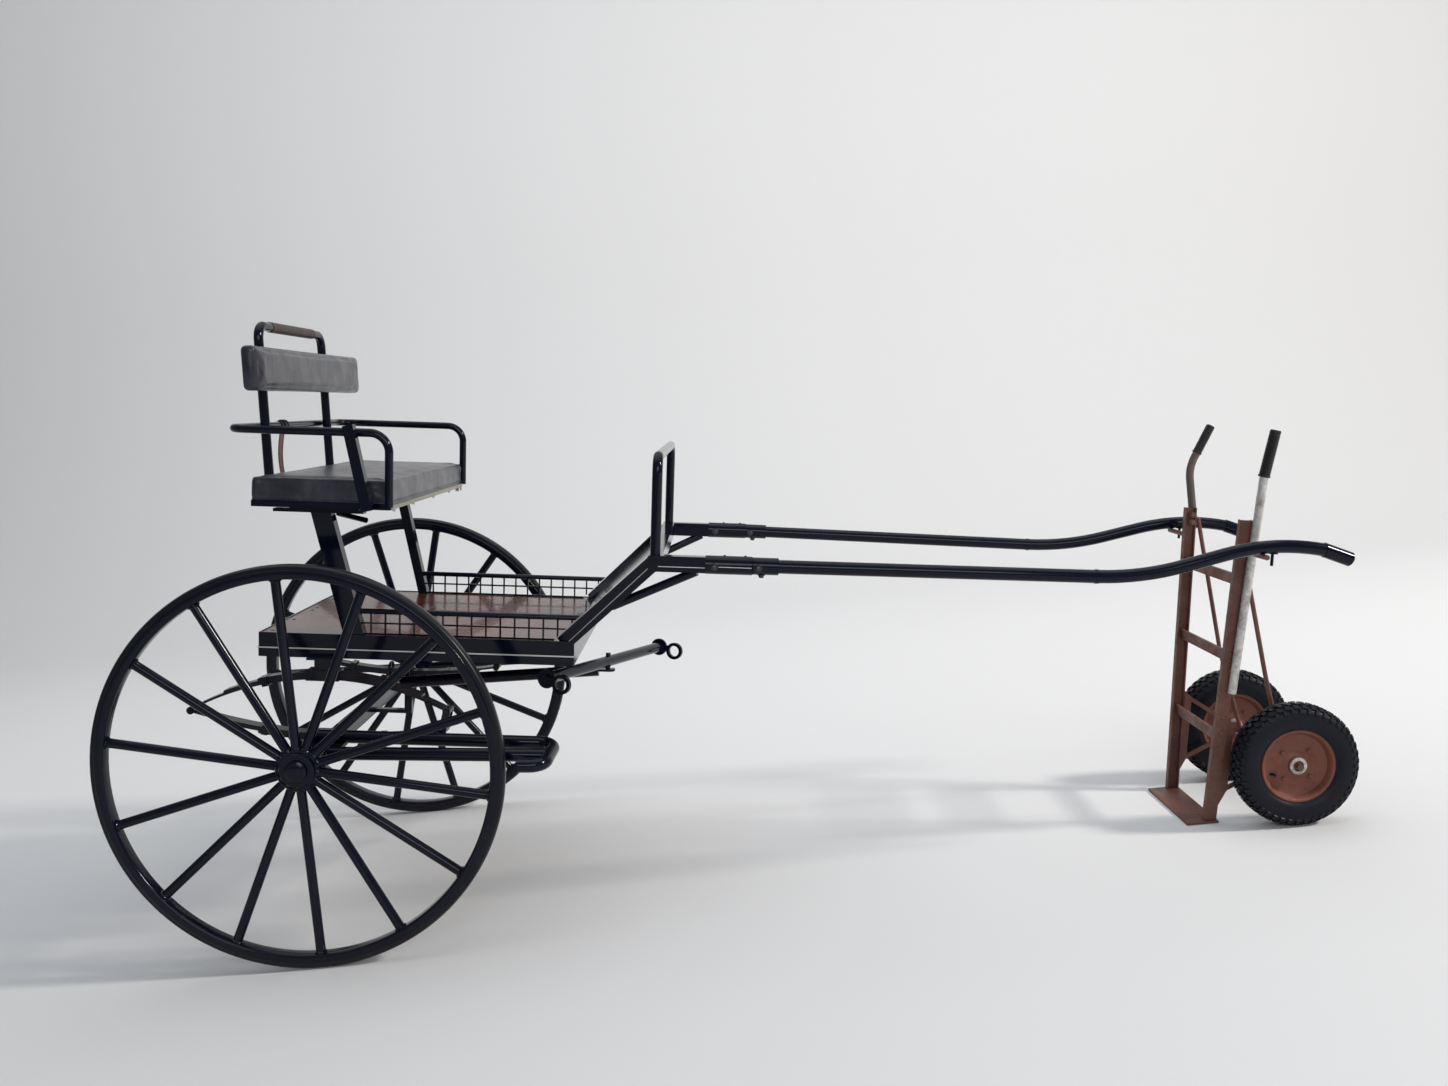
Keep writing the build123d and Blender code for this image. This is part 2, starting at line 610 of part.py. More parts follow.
# Seat, from its slide rails up. The cushions are plain closed solids.
def seat_post(side, top_x, low_x, extra=0.0):
    y = side * (PLAT_HALF - EDGE_STEP - EDGE_T - POST_D / 2 - 1)
    low = Vector(low_x, y, floor_top() + SEAT_GAP)
    top = Vector(top_x, side * SLIDE_Y, slide_z())
    reach = (top - low) * 0.1
    post = bar(low - reach, top + reach, POST_D + 2 * extra, POST_W + 2 * extra)
    return post & box(-SEAT_HALF, SEAT_HALF, -SEAT_HALF, SEAT_HALF, low.Z - extra, top.Z)


def seat_posts():
    right = seat_post(*POSTS[0]) + seat_post(*POSTS[1])
    return solids(right, seat_post(*POSTS[2]))


def slide_z():
    return SEAT_BASE_Z - RUNNER_H - SEAT_GAP - SLIDE_H


def seat_rails():
    rails = []
    for side in (-1, 1):
        y = side * SLIDE_Y
        rails.append(box(SLIDE_REAR, SLIDE_FRONT, y - SLIDE_W / 2, y + SLIDE_W / 2,
                         slide_z(), slide_z() + SLIDE_H))
    tie_y = SLIDE_Y - SLIDE_W / 2
    tie = box(LEVER_FOOT[0] - TIE_W / 2, LEVER_FOOT[0] + TIE_W / 2, -tie_y, tie_y,
              slide_z(), slide_z() + TIE_T)
    return rails[0] + rails[1] + tie


def seat_runners():
    runners = []
    for side in (-1, 1):
        y = side * SLIDE_Y
        z = slide_z() + SLIDE_H
        body = box(-RUNNER_HALF, RUNNER_HALF, y - RUNNER_W / 2, y + RUNNER_W / 2,
                   z + SEAT_GAP, SEAT_BASE_Z - SEAT_GAP)
        runners.append(body)
    return solids(*runners)


def seat_base():
    return box(SEAT_REAR, SEAT_FRONT, -SEAT_HALF, SEAT_HALF, SEAT_BASE_Z, SEAT_BASE_Z + SEAT_BASE_T)


def seat_cushion():
    z = SEAT_BASE_Z + SEAT_BASE_T + SEAT_GAP
    pad = box(SEAT_REAR, SEAT_FRONT, -SEAT_HALF, SEAT_HALF, z, z + CUSHION_H)
    return fillet(pad.edges().filter_by(Axis.Z), 12)


def seat_lever():
    z = slide_z() - SEAT_GAP
    lever = rod((*LEVER_FOOT, z - 14), (*LEVER_FOOT, z), 20)
    lever += rod((*LEVER_FOOT, z - 9), (*LEVER_END, z - 22), LEVER_D)
    return lever


# Backrest tubes, bent over the top into a grab handle.
def backrest_frame():
    foot, top = BACK_POST_FOOT, BACK_POST_TOP
    lean = (top[0] - foot[0]) / (top[1] - foot[1])
    peak = (foot[0] + lean * (HANDLE_TOP - foot[1]), HANDLE_TOP)
    pts = [(foot[0], -BACK_POST_Y, foot[1]), (peak[0], -BACK_POST_Y, peak[1]),
           (peak[0], BACK_POST_Y, peak[1]), (foot[0], BACK_POST_Y, foot[1])]
    frame = bent(pts, BACK_POST_D, HANDLE_BEND)
    for side in (-1, 1):
        y = side * BACK_POST_Y
        frame += box(foot[0] - BACK_POST_D / 2, foot[0] + BACK_FOOT_L, y - BACK_FOOT_W / 2, y + BACK_FOOT_W / 2,
                     SEAT_BASE_Z - RUNNER_H, SEAT_BASE_Z - SEAT_GAP)
    return frame


def handle_grip():
    foot, top = BACK_POST_FOOT, BACK_POST_TOP
    lean = (top[0] - foot[0]) / (top[1] - foot[1])
    x = foot[0] + lean * (HANDLE_TOP - foot[1])
    grip = rod((x, -GRIP_HALF, HANDLE_TOP), (x, GRIP_HALF, HANDLE_TOP), GRIP_D)
    return grip - rod((x, -GRIP_HALF, HANDLE_TOP), (x, GRIP_HALF, HANDLE_TOP), BACK_POST_D + SEAT_GAP * 2)


def backrest_pad():
    foot, top = BACK_POST_FOOT, BACK_POST_TOP
    lean = math.atan2(foot[0] - top[0], top[1] - foot[1])
    mid = (PAD_LOW + PAD_TOP) / 2
    off = BACK_POST_D / 2 + SEAT_GAP + PAD_T / 2
    x = foot[0] - (mid - foot[1]) * math.tan(lean) + off / math.cos(lean)
    pad = Box(PAD_T, 2 * PAD_HALF, PAD_TOP - PAD_LOW)
    pad = fillet(pad.edges().filter_by(Axis.X), 25)
    return Pos(x, 0, mid) * Rot(0, -math.degrees(lean), 0) * pad


def armrest():
    foot, top = BACK_POST_FOOT, BACK_POST_TOP
    lean = (foot[0] - top[0]) / (top[1] - foot[1])
    rear = foot[0] - lean * (ARM_Z - foot[1]) - BACK_POST_D / 2 - ARM_D / 2 - 2 * SEAT_GAP
    pts = [(ARM_FRONT, -ARM_Y, ARM_FOOT), (ARM_FRONT, -ARM_Y, ARM_Z), (rear, -ARM_Y, ARM_Z),
           (rear, ARM_Y, ARM_Z), (ARM_FRONT, ARM_Y, ARM_Z), (ARM_FRONT, ARM_Y, ARM_FOOT)]
    return bent(pts, ARM_D, ARM_BEND)


def whip_holder():
    y = -(ARM_Y + ARM_D / 2 + WHIP_W / 2 + SEAT_GAP)
    a, b = (WHIP_FOOT[0], y, WHIP_FOOT[1]), (WHIP_TOP[0], y, WHIP_TOP[1])
    body = bar(a, b, WHIP_W, WHIP_W)
    d = (Vector(*b) - Vector(*a)).normalized()
    inner = Vector(*a) + d * WHIP_WALL
    tip = Vector(*b) + d
    return body - bar(tuple(inner), tuple(tip), WHIP_W - 2 * WHIP_WALL, WHIP_W - 2 * WHIP_WALL)


# Sack truck: channel rails on the floor, leaning to its wheels.
def tip(point):
    a = math.radians(NOSE_DOWN)
    x, z = point
    return x * math.cos(a) + z * math.sin(a), -x * math.sin(a) + z * math.cos(a) + WHEEL_R


def peg_place():
    # The peg lies under the shaft's crest, square to it.
    slope, crest = shaft_path()[2:]
    end, head = slope @ 1, slope % 1
    centre = end + Vector(head.Y, -head.X, 0) * CREST_R
    reach = CREST_R - SHAFT_R - SEAT_GAP - PEG_R
    a = math.radians(PEG_LEAN)
    local = centre + Vector(-math.sin(a), math.cos(a), 0) * reach
    world = shaft_plane(-1).from_local_coords(local)
    return world


def truck_line(z):
    peg = peg_place()
    px, pz = tip((peg.X, peg.Z))
    return px + (z - pz) * math.tan(math.radians(TRUCK_LEAN))


def rail_y(z):
    return TRUCK_FOOT_Y + (TRUCK_TOP_Y - TRUCK_FOOT_Y) * z / TRUCK_TOP


def truck_rails():
    rails = []
    for side in (-1, 1):
        a = Vector(truck_line(-30), side * rail_y(-30), -30)
        b = Vector(truck_line(TRUCK_TOP), side * rail_y(TRUCK_TOP), TRUCK_TOP)
        plane = Plane(origin=a, x_dir=(1, 0, -math.tan(math.radians(TRUCK_LEAN))), z_dir=b - a)
        face = Rectangle(CHANNEL_W, CHANNEL_D)
        inner = -1 if plane.y_dir.Y * side > 0 else 1
        face -= Pos(0, inner * CHANNEL_T) * Rectangle(CHANNEL_W - 2 * CHANNEL_T, CHANNEL_D)
        rail = extrude(plane * face, amount=(b - a).length)
        foot, reach = truck_line(0), 2 * TRUCK_TOP
        rail = rail & box(foot - reach, foot + reach, -reach, reach, NOSE_T + SEAT_GAP, reach)
        peg = peg_place()
        px, pz = tip((peg.X, peg.Z))
        inner = side * (rail_y(pz) + CHANNEL_D / 2 - 2)
        outer = side * (abs(peg.Y) + PEG_OUT)
        rails.append(rail + rod((px, inner, pz), (px, outer, pz), PEG_R * 2))
    return solids(*rails)


def truck_bars():
    bars = []
    for z in CROSS_Z:
        half = rail_y(z - CROSS_H / 2) + CHANNEL_D / 2 - CHANNEL_T - 1
        x = truck_line(z)
        bars.append(box(x - CROSS_T / 2, x + CROSS_T / 2, -half, half, z - CROSS_H / 2, z + CROSS_H / 2))
    return solids(*bars)


def nose_plate():
    x = truck_line(0)
    half = TRUCK_FOOT_Y + CHANNEL_D
    return box(x - NOSE_REACH, x + CHANNEL_W / 2 + 6, -half, half, 0, NOSE_T)


def axle_place():
    return truck_line(0) + TRUCK_AXLE_BACK, TRUCK_WHEEL_R


def truck_axle():
    x, z = axle_place()
    end = TRUCK_WHEEL_Y + TRUCK_TYRE_W / 2 + 4
    body = rod((x, -end, z), (x, end, z), TRUCK_AXLE_R * 2)
    back = CHANNEL_W / 2 / math.cos(math.radians(TRUCK_LEAN)) + SEAT_GAP
    top, low = SIDE_PLATE_TOP, SIDE_PLATE_LOW
    for side in (-1, 1):
        y = side * (rail_y((top + low) / 2) - 1)
        edge = [(top, 0), (top - SIDE_PLATE_W, SIDE_PLATE_W), (low + 2 * SIDE_PLATE_W, SIDE_PLATE_W), (low, 0)]
        corners = [(truck_line(h) + back + out, h) for h, out in edge]
        face = Plane.XZ * make_face(Polyline(*corners, close=True))
        body += Pos(0, y, 0) * extrude(face, amount=SIDE_PLATE_T / 2, both=True)
        for h in (top - SIDE_PLATE_W, low + 2 * SIDE_PLATE_W):
            start = (truck_line(h) + back + STRUT_W, y, h)
            body += bar(start, (x, y, z), SIDE_PLATE_T, STRUT_W)
        y0, y1 = y + side * SIDE_PLATE_T / 2, side * (TRUCK_WHEEL_Y - TRUCK_TYRE_W / 2 + 18)
        body += rod((x, y0, z), (x, y1 - side * SEAT_GAP, z), TRUCK_AXLE_R * 2 + 12)
    for side, top in BRACE_TOPS:
        pts = [(truck_line(top) + back + BRACE_BAR_D / 2 + SEAT_GAP, side * (rail_y(top) - 2), top),
               (x - BRACE_KNEE[0], side * (rail_y(BRACE_KNEE[1]) - 16), BRACE_KNEE[1]),
               (x, side * (rail_y(z) - 14), z)]
        body += bent(pts, BRACE_BAR_D, BRACE_BEND)
    return body


def handle_points(side, path):
    pts = []
    for dx, z in path:
        y = side * (rail_y(z) + CHANNEL_D / 2 + HANDLE_D / 2 + SEAT_GAP + 0.05)
        pts.append((truck_line(z) + dx, y, z))
    return pts


def truck_handle(side, path):
    return bent(handle_points(side, path), HANDLE_D, TRUCK_HANDLE_BEND)


def truck_grip(side, path, length, dia):
    a, b = [Vector(*p) for p in handle_points(side, path)[-2:]]
    d = (b - a).normalized()
    start, end = b - d * length, b + d * 6
    grip = rod(tuple(start), tuple(end), dia)
    return grip - rod(tuple(start - d), tuple(b + d * SEAT_GAP), HANDLE_D + 2 * SEAT_GAP)


def truck_wheel(side):
    mid = side * TRUCK_WHEEL_Y
    w = TRUCK_TYRE_W / 2
    r, lip = TRUCK_WHEEL_R, TRUCK_RIM_R
    tyre = ring([(lip, mid - w * 0.72), (r - 28, mid - w), (r, mid - w * 0.66),
                 (r, mid + w * 0.66), (r - 28, mid + w), (lip, mid + w * 0.72)])
    bore = TRUCK_AXLE_R + RUN_GAP
    rim = ring([(lip - SEAT_GAP - 6, mid - w * 0.7), (lip - SEAT_GAP, mid - w * 0.7),
                (lip - SEAT_GAP, mid + w * 0.7), (lip - SEAT_GAP - 6, mid + w * 0.7)])
    dish = ring([(bore, mid - 3), (lip - 4, mid - 3), (lip - 4, mid + 3), (bore, mid + 3)])
    hub = ring([(bore, mid - 26), (TRUCK_HUB_R, mid - 26), (TRUCK_HUB_R, mid + 26), (bore, mid + 26)])
    return {"tyre": tyre, "rim": rim + dish + hub}


# Nodes in the cart's own level frame
cart = {
    "axle": axle(),
    "platform_frame": platform_frame(),
    "floor_boards": floor_boards(),
    "dash_frame": dash_frame(),
    "dash_sheet": dash_sheet(),
    "drawbar": drawbar(),
    "singletree": singletree(),
    "trace_eyes": trace_eyes(),
    "step": step(),
    "seat_posts": seat_posts(),
    "seat_rails": seat_rails(),
    "seat_lever": seat_lever(),
    "seat_runners": seat_runners(),
    "seat_base": seat_base(),
    "seat_cushion": seat_cushion(),
    "backrest_frame": backrest_frame(),
    "backrest_pad": backrest_pad(),
    "handle_grip": handle_grip(),
    "armrest": armrest(),
    "whip_holder": whip_holder(),
}
for name, side in (("right", -1), ("left", 1)):
    cart["spring_" + name] = spring(side)
    cart["mesh_" + name] = mesh_panel(side)
    cart["shaft_socket_" + name] = socket(side)
    cart["shaft_" + name] = shaft(side)
    cart["shaft_tip_" + name] = shaft_tip(side)
    for piece, shape in wheel(side).items():
        cart[piece + "_" + name] = shape

# Nodes that stand on the floor
stand = {
    "stand_rails": truck_rails(),
    "stand_bars": truck_bars(),
    "stand_nose": nose_plate(),
    "stand_axle": truck_axle(),
}
for name, side, path, grip in (("right", -1, HANDLE_RIGHT, GRIP_RIGHT), ("left", 1, HANDLE_LEFT, GRIP_LEFT)):
    stand["stand_handle_" + name] = truck_handle(side, path)
    stand["stand_grip_" + name] = truck_grip(side, path, *grip)
    x, z = axle_place()
    for piece, shape in truck_wheel(side).items():
        stand["stand_" + piece + "_" + name] = Pos(x, 0, z) * shape

lift = Pos(0, 0, WHEEL_R) * Rot(0, NOSE_DOWN, 0)
nodes = {name: lift * shape for name, shape in cart.items()}
nodes.update(stand)
whole = Compound([s for shape in nodes.values() for s in shape.solids()]).bounding_box()
centre = Pos(-(whole.min.X + whole.max.X) / 2, -(whole.min.Y + whole.max.Y) / 2, 0)

os.makedirs("parts", exist_ok=True)
for name, shape in nodes.items():
    export_step(centre * shape, f"parts/{name}.step")
print("origin shift", centre.position, "axle at", (centre * lift).position)
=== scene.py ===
import json
import math

import bmesh
import bpy
from mathutils import Matrix, Vector, noise

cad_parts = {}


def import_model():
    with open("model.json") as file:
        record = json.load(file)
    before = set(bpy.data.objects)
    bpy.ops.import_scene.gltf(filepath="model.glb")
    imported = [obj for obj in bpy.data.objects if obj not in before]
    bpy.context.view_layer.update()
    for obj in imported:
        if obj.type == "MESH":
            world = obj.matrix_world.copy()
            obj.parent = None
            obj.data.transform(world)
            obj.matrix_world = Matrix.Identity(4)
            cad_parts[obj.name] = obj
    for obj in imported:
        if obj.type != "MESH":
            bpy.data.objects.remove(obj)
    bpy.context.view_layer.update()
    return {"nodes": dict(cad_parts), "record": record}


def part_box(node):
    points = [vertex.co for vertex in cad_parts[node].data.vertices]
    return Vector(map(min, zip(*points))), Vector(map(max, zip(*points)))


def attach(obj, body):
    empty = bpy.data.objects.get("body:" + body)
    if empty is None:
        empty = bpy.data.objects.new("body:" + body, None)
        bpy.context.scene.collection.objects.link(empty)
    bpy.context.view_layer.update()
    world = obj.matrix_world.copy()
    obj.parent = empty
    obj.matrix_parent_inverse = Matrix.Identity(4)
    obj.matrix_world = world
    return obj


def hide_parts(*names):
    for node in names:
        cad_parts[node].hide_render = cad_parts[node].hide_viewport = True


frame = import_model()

# The cart leans nose down about its wheels. CART turns its own level frame into the part frame.
PITCH = math.radians(7.0)
WHEEL_R = 0.575
wheel_low, wheel_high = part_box("tyre_right")
AXLE_X = (wheel_low[0] + wheel_high[0]) / 2
CART = Matrix.Translation((AXLE_X, 0, WHEEL_R)) @ Matrix.Rotation(PITCH, 4, "Y")
SIDES = (("right", -1), ("left", 1))


def cart(x, y, z):
    return CART @ Vector((x, y, z))


def aim(point, axis):
    turn = Vector(axis).to_track_quat("Z", "Y").to_matrix().to_4x4()
    return Matrix.Translation(Vector(point)) @ turn


def cart_aim(point, axis):
    return CART @ aim(point, axis)


def box_of(node):
    # Middle and half size of a CAD node's box
    low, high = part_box(node)
    middle = Vector([(a + b) / 2 for a, b in zip(low, high)])
    return middle, [(b - a) / 2 for a, b in zip(low, high)]


def ring_of(count, start=0.0):
    # Angles of as many places as are counted, evenly spread round an axis
    return [start + 2 * math.pi * k / count for k in range(count)]


# Node trees
def put(tree, kind, values=None, **settings):
    made = tree.nodes.new(kind)
    for key, value in settings.items():
        setattr(made, key, value)
    for key, value in (values or {}).items():
        if isinstance(value, bpy.types.NodeSocket):
            tree.links.new(value, made.inputs[key])
        else:
            made.inputs[key].default_value = value
    return made


def math_node(tree, operation, a, b, clamp=False):
    return put(tree, "ShaderNodeMath", {0: a, 1: b}, operation=operation, use_clamp=clamp).outputs[0]


def product(tree, a, b, clamp=False):
    return math_node(tree, "MULTIPLY", a, b, clamp)


def total(tree, a, b):
    return math_node(tree, "ADD", a, b)


def larger(tree, a, b):
    return math_node(tree, "MAXIMUM", a, b)


def own_place(tree):
    return put(tree, "ShaderNodeTexCoord").outputs["Object"]


def upward(tree, vector):
    return put(tree, "ShaderNodeSeparateXYZ", {0: vector}).outputs["Z"]


def ramp(tree, value, low, high, out_low=0.0, out_high=1.0):
    values = {"Value": value, "From Min": low, "From Max": high, "To Min": out_low, "To Max": out_high}
    return put(tree, "ShaderNodeMapRange", values).outputs["Result"]


def blend(tree, factor, a, b):
    return put(tree, "ShaderNodeMix", {0: factor, 6: a, 7: b}, data_type="RGBA").outputs[2]


def texture(tree, scale, detail=4.0, rough=0.55, stretch=(1, 1, 1)):
    place = own_place(tree)
    if stretch != (1, 1, 1):
        place = put(tree, "ShaderNodeMapping", {"Vector": place, "Scale": stretch}).outputs["Vector"]
    values = {"Vector": place, "Scale": scale, "Detail": detail, "Roughness": rough}
    return put(tree, "ShaderNodeTexNoise", values).outputs["Fac"]


VALUE = "NodeSocketFloat"
COLOUR = "NodeSocketColor"


def new_group(name, **outputs):
    tree = bpy.data.node_groups.new(name, "ShaderNodeTree")
    for label, kind in outputs.items():
        tree.interface.new_socket(name=label, in_out="OUTPUT", socket_type=kind)
    return tree, tree.nodes.new("NodeGroupOutput")


def new_input(tree, label, value):
    made = tree.interface.new_socket(name=label, in_out="INPUT", socket_type=VALUE)
    made.default_value = value
    return tree.nodes.new("NodeGroupInput").outputs[label]


def wire(tree, end, **sockets):
    for label, socket in sockets.items():
        tree.links.new(socket, end.inputs[label.replace("_", " ")])


# Dust that lies on what faces up and gathers low down, and small scuffs
def dust_group():
    tree, end = new_group("road_dust", Dust=VALUE, Scuffs=VALUE, Ripple=VALUE)
    amount = new_input(tree, "Amount", 0.5)
    facing = put(tree, "ShaderNodeNewGeometry").outputs["Normal"]
    lying = ramp(tree, upward(tree, facing), 0.35, 1.0)
    low = ramp(tree, upward(tree, own_place(tree)), 0.5, 0.0, 0.0, 0.7)
    patch = ramp(tree, texture(tree, 9.0, 6.0, 0.65), 0.35, 0.72)
    speck = ramp(tree, texture(tree, 160.0, 3.0), 0.42, 0.75)
    dust = product(tree, larger(tree, lying, low), patch)
    dust = product(tree, dust, ramp(tree, speck, 0.0, 1.0, 0.45, 1.0))
    dust = product(tree, dust, amount, clamp=True)
    scuffs = ramp(tree, texture(tree, 55.0, 8.0, 0.75, (1, 1, 0.25)), 0.62, 0.72)
    wire(tree, end, Dust=dust, Scuffs=scuffs, Ripple=texture(tree, 420.0, 2.0))
    return tree


# Pebbled vinyl with soft creases, with painted shade in the crease hollows
def vinyl_group():
    tree, end = new_group("vinyl_grain", Height=VALUE, Tone=VALUE)
    values = {"Vector": own_place(tree), "Scale": 560.0}
    cells = put(tree, "ShaderNodeTexVoronoi", values, feature="DISTANCE_TO_EDGE").outputs["Distance"]
    pebble = ramp(tree, cells, 0.0, 0.25)
    crease_and_shade = ramp(tree, texture(tree, 60.0, 5.0, 0.62, (1, 1, 0.3)), 0.36, 0.64)
    cloud = ramp(tree, texture(tree, 12.0, 6.0, 0.6), 0.3, 0.7)
    height = total(tree, product(tree, pebble, 0.35), crease_and_shade)
    # The tone follows the crease height: painted shade darkens the crease hollows, over a random cloud
    tone = product(tree, cloud, ramp(tree, crease_and_shade, 0.0, 1.0, 0.45, 1.0))
    wire(tree, end, Height=height, Tone=tone)
    return tree


# Long grain of varnished boards, running fore and aft
def board_group():
    tree, end = new_group("board_grain", Colour=COLOUR, Height=VALUE)
    stretched = put(tree, "ShaderNodeMapping", {"Vector": own_place(tree), "Scale": (0.3, 3.6, 3.6)})
    values = {"Vector": stretched.outputs["Vector"], "Scale": 1.6, "Distortion": 9.0, "Detail": 5.0}
    rings = put(tree, "ShaderNodeTexWave", values, bands_direction="Y").outputs["Fac"]
    pores = texture(tree, 90.0, 5.0, 0.7, (0.06, 1, 1))
    broad = texture(tree, 3.2, 3.0, 0.5, (0.5, 1, 1))
    dark = blend(tree, ramp(tree, rings, 0.1, 0.9), (0.035, 0.007, 0.004, 1), (0.095, 0.02, 0.009, 1))
    tone = blend(tree, ramp(tree, broad, 0.35, 0.68), dark, (0.14, 0.031, 0.013, 1))
    colour = blend(tree, ramp(tree, pores, 0.5, 0.66), tone, (0.05, 0.014, 0.008, 1))
    wire(tree, end, Colour=colour, Height=total(tree, pores, product(tree, rings, 0.3)))
    return tree


# Old red-brown paint going to rust, with grime
def rust_group():
    tree, end = new_group("rusty_paint", Colour=COLOUR, Roughness=VALUE, Height=VALUE)
    broad = texture(tree, 11.0, 8.0, 0.68)
    fine = texture(tree, 75.0, 8.0, 0.7)
    mixed = total(tree, product(tree, broad, 0.6), product(tree, fine, 0.4))
    spots = ramp(tree, mixed, 0.47, 0.6)
    paint = blend(tree, ramp(tree, broad, 0.3, 0.7), (0.085, 0.036, 0.022, 1), (0.19, 0.095, 0.062, 1))
    rust = blend(tree, ramp(tree, fine, 0.3, 0.7), (0.05, 0.02, 0.011, 1), (0.16, 0.075, 0.04, 1))
    grime = ramp(tree, texture(tree, 8.0, 5.0, 0.6), 0.42, 0.66, 0.0, 0.7)
    colour = blend(tree, grime, blend(tree, spots, paint, rust), (0.036, 0.022, 0.017, 1))
    roughness = ramp(tree, spots, 0.0, 1.0, 0.48, 0.82)
    wire(tree, end, Colour=colour, Roughness=roughness, Height=total(tree, spots, fine))
    return tree


ROAD_DUST = dust_group()
VINYL_GRAIN = vinyl_group()
BOARD_GRAIN = board_group()
RUSTY_PAINT = rust_group()


def use(tree, group, **values):
    made = tree.nodes.new("ShaderNodeGroup")
    made.node_tree = group
    for key, value in values.items():
        made.inputs[key].default_value = value
    return made.outputs


def bump(tree, shader, height, distance, strength=1.0):
    values = {"Height": height, "Distance": distance, "Strength": strength}
    tree.links.new(put(tree, "ShaderNodeBump", values).outputs["Normal"], shader.inputs["Normal"])


def new_material(name, **sockets):
    made = bpy.data.materials.new(name)
    made.use_nodes = True
    shader = made.node_tree.nodes["Principled BSDF"]
    for label, value in sockets.items():
        shader.inputs[label.replace("_", " ")].default_value = value
    return made, made.node_tree, shader


DUST_COLOUR = (0.3, 0.235, 0.185, 1)


def dusted(tree, colour, amount):
    # The colour with road dust over it, and the dust's own outputs
    dust = use(tree, ROAD_DUST, Amount=amount)
    return blend(tree, dust["Dust"], colour, DUST_COLOUR), dust


def dusty(name, colour, rough_low, rough_high, amount, ripple=0.00002, **sockets):
    # A plain finish with dust and scuffs over it
    made, tree, shader = new_material(name, **sockets)
    tint, dust = dusted(tree, (*colour, 1), amount)
    worn = larger(tree, dust["Dust"], product(tree, dust["Scuffs"], 0.35))
    wire(tree, shader, Base_Color=tint, Roughness=ramp(tree, worn, 0.0, 0.8, rough_low, rough_high))
    bump(tree, shader, dust["Ripple"], ripple, 0.4)
    return made


BLACK_PAINT = dusty("black_paint", (0.002, 0.003, 0.011), 0.13, 0.7, 0.05, Coat_Weight=0.1, Coat_Roughness=0.04,
                    Specular_IOR_Level=0.18)
SPRING_STEEL = dusty("spring_steel", (0.004, 0.0045, 0.009), 0.24, 0.75, 0.1, 0.00006, Specular_IOR_Level=0.3)
WHEEL_RUBBER = dusty("wheel_rubber", (0.004, 0.0045, 0.009), 0.32, 0.8, 0.12, 0.00008, Specular_IOR_Level=0.26)
STAND_RUBBER = dusty("stand_rubber", (0.003, 0.004, 0.009), 0.46, 0.8, 0.05, 0.00012, Specular_IOR_Level=0.22)
GRIP_PLASTIC = dusty("grip_plastic", (0.008, 0.008, 0.01), 0.42, 0.8, 0.1, Specular_IOR_Level=0.35)
BOLT_STEEL = dusty("bolt_steel", (0.07, 0.07, 0.078), 0.3, 0.6, 0.08, Metallic=0.85)
# Bright steel for the seat clips, and for the painted highlight lines that stand in for edge glints
TRIM_STEEL_AND_PAINTED_GLINT = dusty("trim_steel_and_painted_glint", (0.62, 0.62, 0.6), 0.28, 0.6, 0.1, Metallic=0.9)


def zinc():
    made, tree, shader = new_material("zinc_steel", Metallic=0.6)
    cells = put(tree, "ShaderNodeTexVoronoi", {"Vector": own_place(tree), "Scale": 120.0}).outputs["Color"]
    spangle = put(tree, "ShaderNodeSeparateColor", {0: cells}).outputs[0]
    blotch = ramp(tree, texture(tree, 16.0, 8.0, 0.7), 0.5, 0.68, 0.0, 0.75)
    tone = blend(tree, spangle, (0.5, 0.485, 0.465, 1), (0.64, 0.625, 0.6, 1))
    colour = blend(tree, blotch, tone, (0.17, 0.1, 0.065, 1))
    wire(tree, shader, Base_Color=colour, Roughness=ramp(tree, blotch, 0.0, 0.75, 0.36, 0.72))
    bump(tree, shader, texture(tree, 240.0, 3.0), 0.0001, 0.5)
    return made


def vinyl():
    made, tree, shader = new_material("seat_vinyl", Coat_Weight=0.4, Coat_Roughness=0.26, Specular_IOR_Level=0.24)
    grain = use(tree, VINYL_GRAIN)
    tone = blend(tree, grain["Tone"], (0.006, 0.0075, 0.015, 1), (0.052, 0.051, 0.064, 1))
    colour, _ = dusted(tree, tone, 0.1)
    wire(tree, shader, Base_Color=colour, Roughness=ramp(tree, grain["Tone"], 0.0, 1.0, 0.4, 0.26))
    bump(tree, shader, grain["Height"], 0.0005, 0.3)
    return made


def leather():
    made, tree, shader = new_material("grip_leather")
    worn = ramp(tree, texture(tree, 34.0, 7.0, 0.7), 0.4, 0.66)
    colour = blend(tree, worn, (0.02, 0.011, 0.009, 1), (0.085, 0.045, 0.034, 1))
    wire(tree, shader, Base_Color=colour, Roughness=ramp(tree, worn, 0.0, 1.0, 0.45, 0.7))
    bump(tree, shader, use(tree, VINYL_GRAIN)["Height"], 0.0005, 0.5)
    return made


def strap_leather():
    made, tree, shader = new_material("strap_leather", Roughness=0.5)
    worn = ramp(tree, texture(tree, 60.0, 6.0, 0.7), 0.35, 0.7)
    wire(tree, shader, Base_Color=blend(tree, worn, (0.035, 0.01, 0.006, 1), (0.095, 0.026, 0.012, 1)))
    bump(tree, shader, texture(tree, 420.0, 3.0), 0.0003, 0.6)
    return made


def boards():
    made, tree, shader = new_material("varnished_wood", Coat_Weight=0.32, Coat_Roughness=0.05, Specular_IOR_Level=0.2)
    grain = use(tree, BOARD_GRAIN)
    colour, dust = dusted(tree, grain["Colour"], 0.1)
    wire(tree, shader, Base_Color=colour, Roughness=ramp(tree, dust["Dust"], 0.0, 0.5, 0.26, 0.6))
    bump(tree, shader, grain["Height"], 0.00015, 0.3)
    return made


def ply_edge():
    made, tree, shader = new_material("ply_edge", Roughness=0.5, Coat_Weight=0.3)
    plies = ramp(tree, texture(tree, 90.0, 3.0, 0.6, (0.05, 0.05, 6.0)), 0.4, 0.6)
    wire(tree, shader, Base_Color=blend(tree, plies, (0.16, 0.15, 0.1, 1), (0.26, 0.25, 0.18, 1)))
    return made


